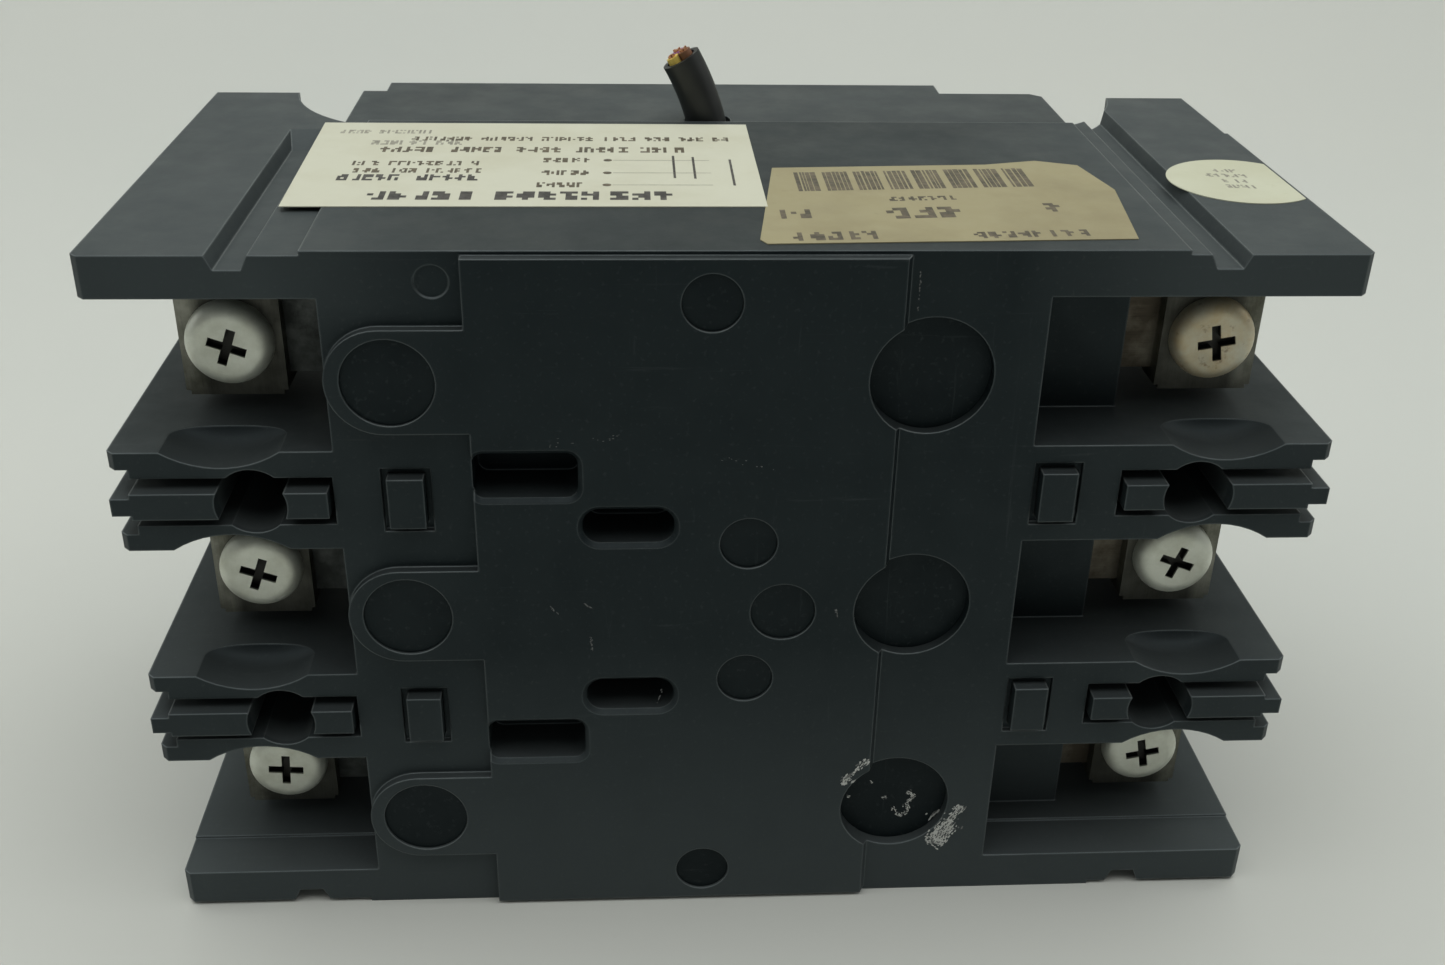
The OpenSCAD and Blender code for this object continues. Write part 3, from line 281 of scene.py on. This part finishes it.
def coated(name, a, b, rough=(0.4, 0.55), scale=180):
    """Small plastic, rubber or painted piece with slight colour change and grain."""
    s = Shader(name)
    color = s.mix(s.ramp(s.noise(scale, 4), 0.35, 0.65), a, b)
    r = s.ramp(s.noise(scale * 1.7, 3), 0.3, 0.7, rough[0], rough[1])
    return s.finish(color, r, s.bump(s.noise(scale * 9, 2), 0.35, 0.012))


# colour of dust, scratches and dusty holes; on upward faces it is also painted top light
DUST_AND_TOP_LIGHT = (0.125, 0.14, 0.14)
# lighter colour of the rounded edges: wear and painted highlight
EDGE_WEAR_AND_HIGHLIGHT = (0.15, 0.165, 0.165)
LOW_END_TONE = (0.046, 0.055, 0.057)
# Dust in the mounting holes: x, z, radius, depth of mouth, amount
DUSTY_BORES = [(sx * MOUNT_X, sz * POLE / 2, 4.75, 2.0, 0.16) for sx in (-1, 1) for sz in (-1, 1)]
ALONG_X = (900, 40, 40)
ALONG_Z = (40, 40, 900)
DULL = (0.5, 0.65)

MATS = {
    # Mouldings: dark colour, light colour, dust and painted top light on upward faces, roughness, grain
    "case": moulded("case_moulding", (0.0036, 0.0068, 0.0080), (0.0056, 0.0094, 0.0106), 0.27,
                    specular=0.27, bores=DUSTY_BORES, low_end_tone=LOW_END_TONE, edge_mm=0.45),
    "cover": moulded("cover_moulding", (0.0085, 0.011, 0.0115), (0.012, 0.0155, 0.016), 0.34,
                     edge_mm=0.4),
    "handle": moulded("handle_moulding", (0.009, 0.010, 0.010), (0.014, 0.015, 0.015), 0.1, (0.3, 0.45),
                      edge_mm=0.3),
    "seal": moulded("seal_compound", (0.0022, 0.0044, 0.0052), (0.0038, 0.0064, 0.0072), 0.1, (0.5, 0.7),
                    0.9, specular=0.24),
    "phenolic": moulded("phenolic_moulding", (0.05, 0.02, 0.012), (0.075, 0.032, 0.018), 0.1),
    "switch": moulded("switch_moulding", (0.02, 0.02, 0.024), (0.03, 0.03, 0.034), 0.1),
    "lever": moulded("lever_moulding", (0.42, 0.38, 0.3), (0.5, 0.46, 0.37), 0.05),
    # Metals: clean colour, stained colour, roughness, share of stain, direction of grain
    "zinc": metal("zinc_plate", (0.62, 0.61, 0.55), (0.42, 0.4, 0.33)),
    "black_steel": metal("black_oxide", (0.012, 0.014, 0.014), (0.022, 0.022, 0.021), (0.5, 0.7),
                         metallic=0.3),
    "steel": metal("mill_steel", (0.5, 0.5, 0.49), (0.33, 0.31, 0.28)),
    "spring": metal("spring_wire", (0.42, 0.42, 0.42), (0.28, 0.27, 0.26)),
    "bimetal": metal("bimetal_strip", (0.55, 0.5, 0.43), (0.42, 0.36, 0.3)),
    "copper": metal("rolled_copper", (0.55, 0.3, 0.19), (0.2, 0.13, 0.1), (0.32, 0.5), (0.35, 0.65),
                    ALONG_X),
    "strap": metal("plated_strap", (0.2, 0.185, 0.15), (0.1, 0.085, 0.065), (0.35, 0.55), (0.3, 0.6),
                   ALONG_Z),
    "strap_dark": metal("stained_strap", (0.15, 0.16, 0.155), (0.07, 0.076, 0.073), (0.4, 0.6),
                        (0.3, 0.6)),
    "brass": metal("turned_brass", (0.62, 0.47, 0.2), (0.4, 0.28, 0.12)),
    "silver": metal("silver_alloy", (0.78, 0.77, 0.73), (0.3, 0.28, 0.26)),
    "strand": metal("wire_strand", (0.7, 0.4, 0.24), (0.45, 0.22, 0.13)),
    # Papers: clean colour, stained colour
    "cream": paper("cream_label", (0.61, 0.615, 0.495), (0.55, 0.545, 0.415)),
    "tan": paper("tan_label", (0.345, 0.31, 0.18), (0.265, 0.23, 0.13)),
    "sticker": paper("white_sticker", (0.59, 0.605, 0.465), (0.53, 0.535, 0.385)),
    # Small coloured pieces, ink and paint: two colours, roughness, scale of the grain
    "button": coated("button_plastic", (0.38, 0.03, 0.02), (0.46, 0.045, 0.03), (0.25, 0.4)),
    "fibre": coated("red_fibre", (0.22, 0.05, 0.03), (0.3, 0.08, 0.045), (0.6, 0.75)),
    "jacket": coated("cable_jacket", (0.0085, 0.0105, 0.0095), (0.0135, 0.0155, 0.0145), (0.4, 0.54), 240),
    "yellow": coated("wire_yellow", (0.62, 0.45, 0.07), (0.7, 0.53, 0.12)),
    "brown": coated("wire_brown", (0.16, 0.07, 0.03), (0.22, 0.1, 0.05)),
    "purple": coated("wire_purple", (0.24, 0.07, 0.25), (0.32, 0.11, 0.33)),
    "ink": coated("print_black", (0.035, 0.033, 0.03), (0.09, 0.085, 0.075), DULL, 700),
    "ink_grey": coated("print_grey", (0.24, 0.235, 0.19), (0.36, 0.35, 0.28), DULL, 700),
    "ink_brown": coated("print_faded", (0.07, 0.06, 0.04), (0.15, 0.125, 0.08), DULL, 700),
    "chalk": coated("paint_rub", (0.42, 0.43, 0.41), (0.62, 0.63, 0.6), (0.6, 0.75), 900),
    "chalk_dim": coated("paint_rub_dim", (0.09, 0.095, 0.095), (0.16, 0.165, 0.16), (0.6, 0.75), 900),
}


def screw_heads():
    """Zinc-plated lug screws with their crosses coloured near black, one of them stained tan."""
    s = Shader("lug_screw_plate")
    blot = s.ramp(s.noise(170, 5, 0.65), 0.42, 0.72)
    color = s.mix(blot, (0.78, 0.8, 0.71), (0.6, 0.61, 0.51))
    here = s.near((LUG_X, 11.5, POLE), 6.5, 1.5)
    rust = s.math("MULTIPLY", here, s.ramp(s.noise(230, 5, 0.7), 0.32, 0.62, 0.35, 0.95))
    color = s.mix(rust, color, (0.62, 0.5, 0.3))
    deep = s.math("MULTIPLY", here, s.ramp(s.noise(420, 5, 0.7), 0.58, 0.68, 0, 0.6))
    color = s.mix(deep, color, (0.22, 0.13, 0.065))
    for sx in (-1, 1):
        for z in (-POLE, 0, POLE):
            cross = s.bore(sx * LUG_X, z, 3.6, 11.95)
            color = s.mix(cross, color, (0.03, 0.029, 0.026))
    r = s.ramp(s.noise(300, 4), 0.3, 0.7, 0.42, 0.6)
    normal = s.bump(s.noise(900, 3, 0.6), 0.3, 0.03)
    normal = s.bump(s.noise(220, 2, 0.5), 0.3, 0.08, normal)
    return s.finish(color, r, normal, 0.55)


def lug_boxes():
    """Tinned lugs, with painted shade on the front faces inside their outer strip, where the screw heads and
    the flange cast shadow.
    """
    s = Shader("tinned_lug")
    blot = s.ramp(s.noise(150, 5, 0.65), 0.35, 0.62)
    color = s.mix(blot, (0.3, 0.3, 0.26), (0.15, 0.15, 0.12))
    place = s.node("ShaderNodeSeparateXYZ")
    s.link(s.coord, place.inputs[0])
    facing = s.node("ShaderNodeSeparateXYZ")
    s.link(s.node("ShaderNodeNewGeometry").outputs["Normal"], facing.inputs[0])
    # painted shade: front faces of the lugs inside |x| 71 mm are darkened as if in the shadow of the heads
    # and the flange
    painted_shade = s.ramp(s.math("ABSOLUTE", place.outputs["X"]), 70 * MM, 71.5 * MM, 1, 0)
    painted_shade = s.math("MULTIPLY", painted_shade, s.ramp(facing.outputs["Y"], -0.5, -0.8))
    color = s.mix(s.math("MULTIPLY", painted_shade, 0.8), color, (0.05, 0.05, 0.045))
    line = s.noise(6, 3, 0.6, s.scaled(*ALONG_X))
    r = s.math("ADD", s.ramp(line, 0.3, 0.7, 0.38, 0.58), s.math("MULTIPLY", blot, 0.15))
    normal = s.bump(s.ramp(s.noise(1100, 3, 0.6), 0.35, 0.5), 0.3, 0.03, s.bump(line, 0.25, 0.02))
    return s.finish(color, r, normal, 1.0)


MATS["lug_screw"] = screw_heads()
MATS["lug"] = lug_boxes()

# Material of each CAD node
MADE_OF = {
    "case": ["base", "cover_nuts"],
    "cover": ["cover"],
    "handle": ["handle", "handle_shutter"],
    "seal": ["screw_seals"],
    "phenolic": ["crossbar", "trip_bar"],
    "switch": ["alarm_switch"],
    "lever": ["alarm_lever"],
    "button": ["trip_button"],
    "zinc": ["cover_screws", "frame_screws", "mechanism_frame", "handle_yoke"],
    "black_steel": ["strap_screws"],
    "steel": ["arc_plates", "magnet_yokes", "crossbar_pin", "lower_link", "knee_pin", "cradle", "upper_link",
              "armature_a", "armature_b", "armature_c"],
    "spring": ["toggle_springs", "trip_bar_spring"],
    "bimetal": ["bimetals"],
    "copper": ["blade_a", "blade_b", "blade_c", "flexible_braids"],
    "strap": ["load_straps"],
    "strap_dark": ["line_straps"],
    "brass": ["calibration_screws"],
    "silver": ["fixed_contacts", "moving_contacts"],
    "lug_screw": ["lug_mount_screws"],
    "fibre": ["arc_side_sheets"],
    "jacket": ["alarm_cable"],
    "yellow": ["wire_yellow"],
    "brown": ["wire_brown"],
    "purple": ["wire_purple"],
    "cream": ["alarm_label"],
    "tan": ["rating_label"],
    "sticker": ["inspection_sticker"],
}
TERMINALS = [f"{side}_{{}}_{pole}" for side in ("line", "load") for pole in "abc"]
MADE_OF["lug"] = [t.format("lug") for t in TERMINALS]
MADE_OF["zinc"] += [t.format("bind_screw") for t in TERMINALS]


def paint(obj, material):
    obj.data.materials.clear()
    obj.data.materials.append(MATS[material])
    for poly in obj.data.polygons:
        poly.material_index = 0


for material, names in MADE_OF.items():
    for name in names:
        paint(nodes[name], material)


# ---------------------------------------------------------------- pieces
def add_piece(name, bm, body, materials):
    """Turns a bmesh into a named piece that rides on a body."""
    mesh = bpy.data.meshes.new(name)
    bm.to_mesh(mesh)
    bm.free()
    obj = bpy.data.objects.new(name, mesh)
    bpy.context.scene.collection.objects.link(obj)
    for m in materials:
        mesh.materials.append(MATS[m])
    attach(obj, body)


def flat_patch(bm, corners, index=0):
    face = bm.faces.new([bm.verts.new([c * MM for c in p]) for p in corners])
    face.material_index = index


class Sheet:
    """Print on a label that lies on a flank at height z, with lines that slant about a pivot."""

    def __init__(self, z, slant=0.0, pivot=0.0):
        self.bm = bmesh.new()
        self.z = z + LABEL_T + INK
        self.slant = slant
        self.pivot = pivot

    def at(self, x, y):
        return (x, y + self.slant * (x - self.pivot), self.z)

    def bar(self, x0, x1, y0, y1, index=0):
        flat_patch(self.bm, [self.at(x0, y0), self.at(x1, y0), self.at(x1, y1), self.at(x0, y1)], index)

    def words(self, x0, x1, y0, y1, rng, index=0, fill=0.55, aspect=0.62, gaps=True):
        """Stand-in for a line of print: a row of small broken blocks that spell nothing."""
        h = y1 - y0
        step = h * aspect
        cols, rows = 3, 4
        cell_w, cell_h = step * 0.82 / cols, h / rows
        x = x0
        left = rng.randint(3, 7)
        while x + step * 0.8 < x1:
            if gaps and left == 0:
                left = rng.randint(3, 8)
                x += step * 0.9
                continue
            left -= 1
            stem = rng.randint(0, cols - 1)
            for i in range(cols):
                for j in range(rows):
                    if i == stem or rng.random() < fill * 0.62:
                        cx, cy = x + i * cell_w, y0 + j * cell_h
                        self.bar(cx, cx + cell_w * 1.03, cy, cy + cell_h * 1.03, index)
            x += step

    def ring(self, x, y, r, index=0, sides=14):
        turns = [2 * math.pi * k / sides for k in range(sides)]
        flat_patch(self.bm, [self.at(x + r * math.cos(t), y + r * math.sin(t)) for t in turns], index)


def alarm_print():
    """Title, two columns of words, a changeover contact with its three leads, and four lines of notes."""
    rng = random.Random(11)
    s = Sheet(HALF_WIDTH)
    for x0, x1, y1 in ((-48.3, -32.8, 24.6), (-31.3, -17.4, 24.6), (-15.9, -6.2, 24.7)):
        s.words(x0, x1, 21.0, y1, rng, 0, 0.75, 0.8, False)
    for x0, x1 in ((-53.5, -44.0), (-42.6, -33.0)):
        s.words(x0, x1, 29.5, 32.3, rng, 0, 0.7, 0.62, False)
    for x0, x1, y0 in ((-51.8, -33.5, 33.1), (-52.4, -33.6, 36.6)):
        s.words(x0, x1, y0, y0 + 2.1, rng, 1, 0.6)
    for y, x0 in ((27.6, -26.0), (33.2, -25.6), (39.3, -25.6)):
        s.words(x0, -18.7, y - 1.1, y + 1.1, rng, 1, 0.6, 0.62, False)
        s.ring(-16.4, y, 0.62, 1)
        s.bar(-15.6, -1.8, y - 0.09, y + 0.09, 2)
    for x, y0, y1 in ((-7.15, 30.8, 41.6), (-4.3, 30.5, 41.0), (1.0, 27.4, 39.8)):
        s.bar(x, x + 0.35, y0, y1, 0)
    s.words(-49.5, -4.9, 43.2, 45.9, rng, 1, 0.62)
    s.words(-51.2, -37.3, 47.0, 49.2, rng, 2, 0.6)
    s.words(-45.6, 2.2, 49.2, 51.3, rng, 1, 0.6)
    s.words(-56.6, -42.3, 53.0, 54.9, rng, 2, 0.6)
    add_piece("alarm_print", s.bm, "case", ["ink", "ink_brown", "ink_grey"])


def rating_print():
    """Bar pattern in eight groups, and six groups of worn characters."""
    rng = random.Random(5)
    s = Sheet(HALF_WIDTH, 0.07, 26.0)
    x = 9.8
    for _ in range(8):
        end = x + 3.2
        while x < end:
            w = rng.choice((0.3, 0.45, 0.6, 0.75))
            s.bar(x, x + w, 26.0, 34.6 + rng.uniform(-0.15, 0.15), 0)
            x += w + rng.choice((0.1, 0.14, 0.22))
        x += 0.75
    s.words(21.7, 31.4, 20.9, 22.7, rng, 1, 0.6, 0.75, False)
    s.words(6.4, 13.4, 14.6, 18.2, rng, 1, 0.55, 0.72, False)
    s.words(20.5, 32.0, 13.6, 18.0, rng, 0, 0.62, 0.8, False)
    s.words(42.2, 45.6, 15.0, 18.6, rng, 1, 0.5, 0.7, False)
    s.words(7.2, 19.4, 5.9, 9.0, rng, 0, 0.62, 0.72, False)
    s.words(30.4, 46.0, 5.2, 7.6, rng, 1, 0.6, 0.8, False)
    add_piece("rating_print", s.bm, "case", ["ink_brown", "ink_brown"])


def sticker_print():
    """Four short faint lines on the round sticker."""
    rng = random.Random(3)
    s = Sheet(FLANGE_Z, -0.1, 74.0)
    for y0, x0, x1 in ((28.4, 70.8, 76.6), (31.0, 71.4, 75.6), (33.6, 69.8, 76.0), (36.0, 71.6, 75.0)):
        s.words(x0, x1, y0, y0 + 1.5, rng, 0, 0.45, 0.8)
    add_piece("sticker_print", s.bm, "case", ["ink_grey"])


alarm_print()
rating_print()
sticker_print()


# White paint rubbed on the mounting face, and light scratches: lengths along x and z
def face_y(x, z):
    """Depth of the mounting face at x, z in millimetres."""
    if math.hypot(x - SEAL_X, z + POLE) < SEAL_R:
        return SEAL_Y
    return 0.0 if PANEL_X[0] < x < PANEL_X[1] else SKIN_Y


def rubbed(name, strokes, seed, index_mats):
    """Broken flecks scattered along strokes: (x0, z0, x1, z1, width, count, size)."""
    rng = random.Random(seed)
    bm = bmesh.new()
    for x0, z0, x1, z1, width, count, size in strokes:
        length = math.hypot(x1 - x0, z1 - z0)
        ux, uz = (x1 - x0) / length, (z1 - z0) / length
        for _ in range(count):
            t, off = rng.random(), rng.gauss(0, width / 2)
            cx, cz = x0 + (x1 - x0) * t - uz * off, z0 + (z1 - z0) * t + ux * off
            y = face_y(cx, cz) - INK - rng.random() * 0.006
            sides = rng.randint(5, 7)
            rng.random()  # spare draw that keeps the pattern of the flecks
            a, b = size * rng.uniform(0.5, 1.7), size * rng.uniform(0.25, 0.7)
            pts = []
            for k in range(sides):
                ang = -2 * math.pi * k / sides
                r = rng.uniform(0.6, 1.15)
                px, pz = a * r * math.cos(ang), b * r * math.sin(ang)
                pts.append((cx + px * ux - pz * uz, y, cz + px * uz + pz * ux))
            flat_patch(bm, pts, 0 if rng.random() < 0.7 else 1)
    add_piece(name, bm, "case", index_mats)


rubbed("paint_rubs", [
    (17.2, -30.1, 18.3, -28.7, 0.8, 60, 0.24),
    (18.3, -28.7, 19.6, -27.2, 0.35, 22, 0.2),
    (19.6, -27.2, 20.7, -25.9, 0.6, 30, 0.22),
    (18.6, -34.8, 18.9, -35.1, 0.3, 12, 0.16),
    (21.9, -32.2, 22.2, -32.6, 0.3, 10, 0.14),
    (23.9, -35.3, 24.6, -35.3, 0.4, 18, 0.17),
    (27.8, -34.3, 28.9, -35.3, 0.4, 24, 0.18),
    (28.9, -35.3, 27.7, -36.6, 0.35, 22, 0.17),
    (27.7, -36.6, 28.2, -38.0, 0.45, 28, 0.18),
    (28.2, -38.0, 26.8, -38.9, 0.4, 26, 0.18),
    (26.8, -38.9, 25.7, -37.3, 0.35, 22, 0.18),
    (35.9, -36.0, 34.2, -38.8, 0.9, 80, 0.26),
    (34.2, -38.8, 32.2, -42.9, 1.7, 210, 0.3),
    (31.3, -42.2, 33.4, -43.5, 0.8, 60, 0.26),
], 21, ["chalk", "chalk_dim"])
rubbed("fine_scratches", [
    (-24.6, 1.4, -23.6, 0.2, 0.25, 10, 0.16),
    (-20.0, 1.8, -19.0, 1.2, 0.2, 9, 0.16),
    (-19.2, -3.4, -19.0, -6.0, 0.12, 14, 0.16),
    (-10.0, -15.0, -9.4, -12.6, 0.1, 8, 0.14),
    (14.6, 0.2, 15.0, -0.8, 0.2, 8, 0.16),
    (22.9, 44.0, 22.9, 49.5, 0.12, 16, 0.16),
    (-24.0, 26.0, -14.0, 27.4, 0.5, 16, 0.12),
    (-2.0, 24.0, 6.0, 22.0, 0.5, 10, 0.12),
], 8, ["chalk_dim", "chalk_dim"])


def wire_strands():
    """Cut copper strands at the end of each conductor of the alarm cable."""
    rng = random.Random(2)
    bm = bmesh.new()
    start_x, start_y, start_z = 0.2, 64.5, 41
    bend_r, bend_end = 40.0, math.radians(31.3)
    wire_ring, strand_ring, strand_r, sides = 1.2, 0.42, 0.19, 8
    for turn in (210, 330, 90):
        ox, oy = wire_ring * math.cos(math.radians(turn)), wire_ring * math.sin(math.radians(turn))
        for k in range(7):
            ring = strand_ring if k else 0
            sx, sy = ox + ring * math.cos(k * math.pi / 3), oy + ring * math.sin(k * math.pi / 3)
            reach = rng.uniform(0.15, 0.5)
            tip_lean = (rng.uniform(-0.1, 0.1), rng.uniform(-0.1, 0.1))
            rows = []
            for h, lean in ((-0.2, 0), (reach, 1)):
                row = []
                for j in range(sides):
                    t = 2 * math.pi * j / sides
                    r = bend_r + sx + strand_r * math.cos(t) + tip_lean[0] * lean
                    x = start_x - bend_r + r * math.cos(bend_end) - h * math.sin(bend_end)
                    y = start_y + sy + strand_r * math.sin(t) + tip_lean[1] * lean
                    z = start_z + r * math.sin(bend_end) + h * math.cos(bend_end)
                    row.append(bm.verts.new((x * MM, y * MM, z * MM)))
                rows.append(row)
            for j in range(sides):
                after = (j + 1) % sides
                bm.faces.new((rows[0][j], rows[0][after], rows[1][after], rows[1][j]))
            bm.faces.new(rows[1])
    add_piece("wire_strands", bm, "case", ["strand"])


wire_strands()


# ---------------------------------------------------------------- stage and light
def sweep_stage():
    """Pale floor that curves up into a wall far behind the object; lengths here are in metres."""
    floor_z = -(HALF_WIDTH + 0.02) * MM
    wall_y, wall_top, bend, reach = 0.75, 1.6, 0.35, 4.0
    profile = [(-reach, floor_z), (wall_y - bend, floor_z)]
    for k in range(1, 17):
        t = math.pi / 2 * k / 16
        profile.append((wall_y - bend + bend * math.sin(t), floor_z + bend - bend * math.cos(t)))
    profile.append((wall_y, wall_top))
    bm = bmesh.new()
    rows = [[bm.verts.new((x, y, z)) for x in (-reach, reach)] for y, z in profile]
    for a, b in zip(rows, rows[1:]):
        bm.faces.new((a[0], a[1], b[1], b[0]))
    mesh = bpy.data.meshes.new("backdrop")
    bm.to_mesh(mesh)
    bm.free()
    for p in mesh.polygons:
        p.use_smooth = True
    obj = bpy.data.objects.new("backdrop", mesh)
    bpy.context.scene.collection.objects.link(obj)
    s = Shader("backdrop_paper")
    color = s.mix(s.ramp(s.noise(2.2, 3), 0.3, 0.7), (0.62, 0.645, 0.61), (0.66, 0.675, 0.63))
    mesh.materials.append(s.finish(color, 0.85, s.bump(s.noise(400, 2), 0.15, 0.05), 0.0, 0.2))


def area(name, place, target, size, power, color):
    """Rectangular soft light aimed at target."""
    data = bpy.data.lights.new(name, "AREA")
    data.shape = "RECTANGLE"
    data.size, data.size_y = size
    data.energy = power
    data.color = color
    obj = bpy.data.objects.new(name, data)
    obj.location = place
    obj.rotation_mode = "QUATERNION"
    obj.rotation_quaternion = (Vector(target) - Vector(place)).to_track_quat("-Z", "Y")
    bpy.context.scene.collection.objects.link(obj)


def light_the_stage():
    """Large light above, weak ones at the sides, and a dome that is brighter behind the object."""
    area("top_soft", (0.0, 0.0, 0.95), (0.0, 0.0, 0.0), (1.6, 1.3), 9.8, (1.0, 1.0, 0.98))
    area("left_soft", (-0.85, 0.1, 0.45), (0.0, 0.03, 0.0), (0.7, 0.7), 0.8, (0.98, 1.0, 1.0))
    area("right_soft", (0.85, 0.1, 0.45), (0.0, 0.03, 0.0), (0.7, 0.7), 0.7, (1.0, 1.0, 0.98))
    world = bpy.data.worlds.new("studio")
    bpy.context.scene.world = world
    world.use_nodes = True
    nt = world.node_tree
    coord = nt.nodes.new("ShaderNodeTexCoord")
    split = nt.nodes.new("ShaderNodeSeparateXYZ")
    nt.links.new(coord.outputs["Generated"], split.inputs[0])
    depth = nt.nodes.new("ShaderNodeMapRange")
    for key, v in (("From Min", -0.6), ("From Max", 0.6), ("To Min", 0.16), ("To Max", 0.48)):
        depth.inputs[key].default_value = v
    nt.links.new(split.outputs["Y"], depth.inputs["Value"])
    back = nt.nodes["Background"]
    back.inputs["Color"].default_value = (0.97, 1.0, 0.98, 1)
    nt.links.new(depth.outputs["Result"], back.inputs["Strength"])


sweep_stage()
light_the_stage()
bpy.context.scene.view_settings.view_transform = "Standard"
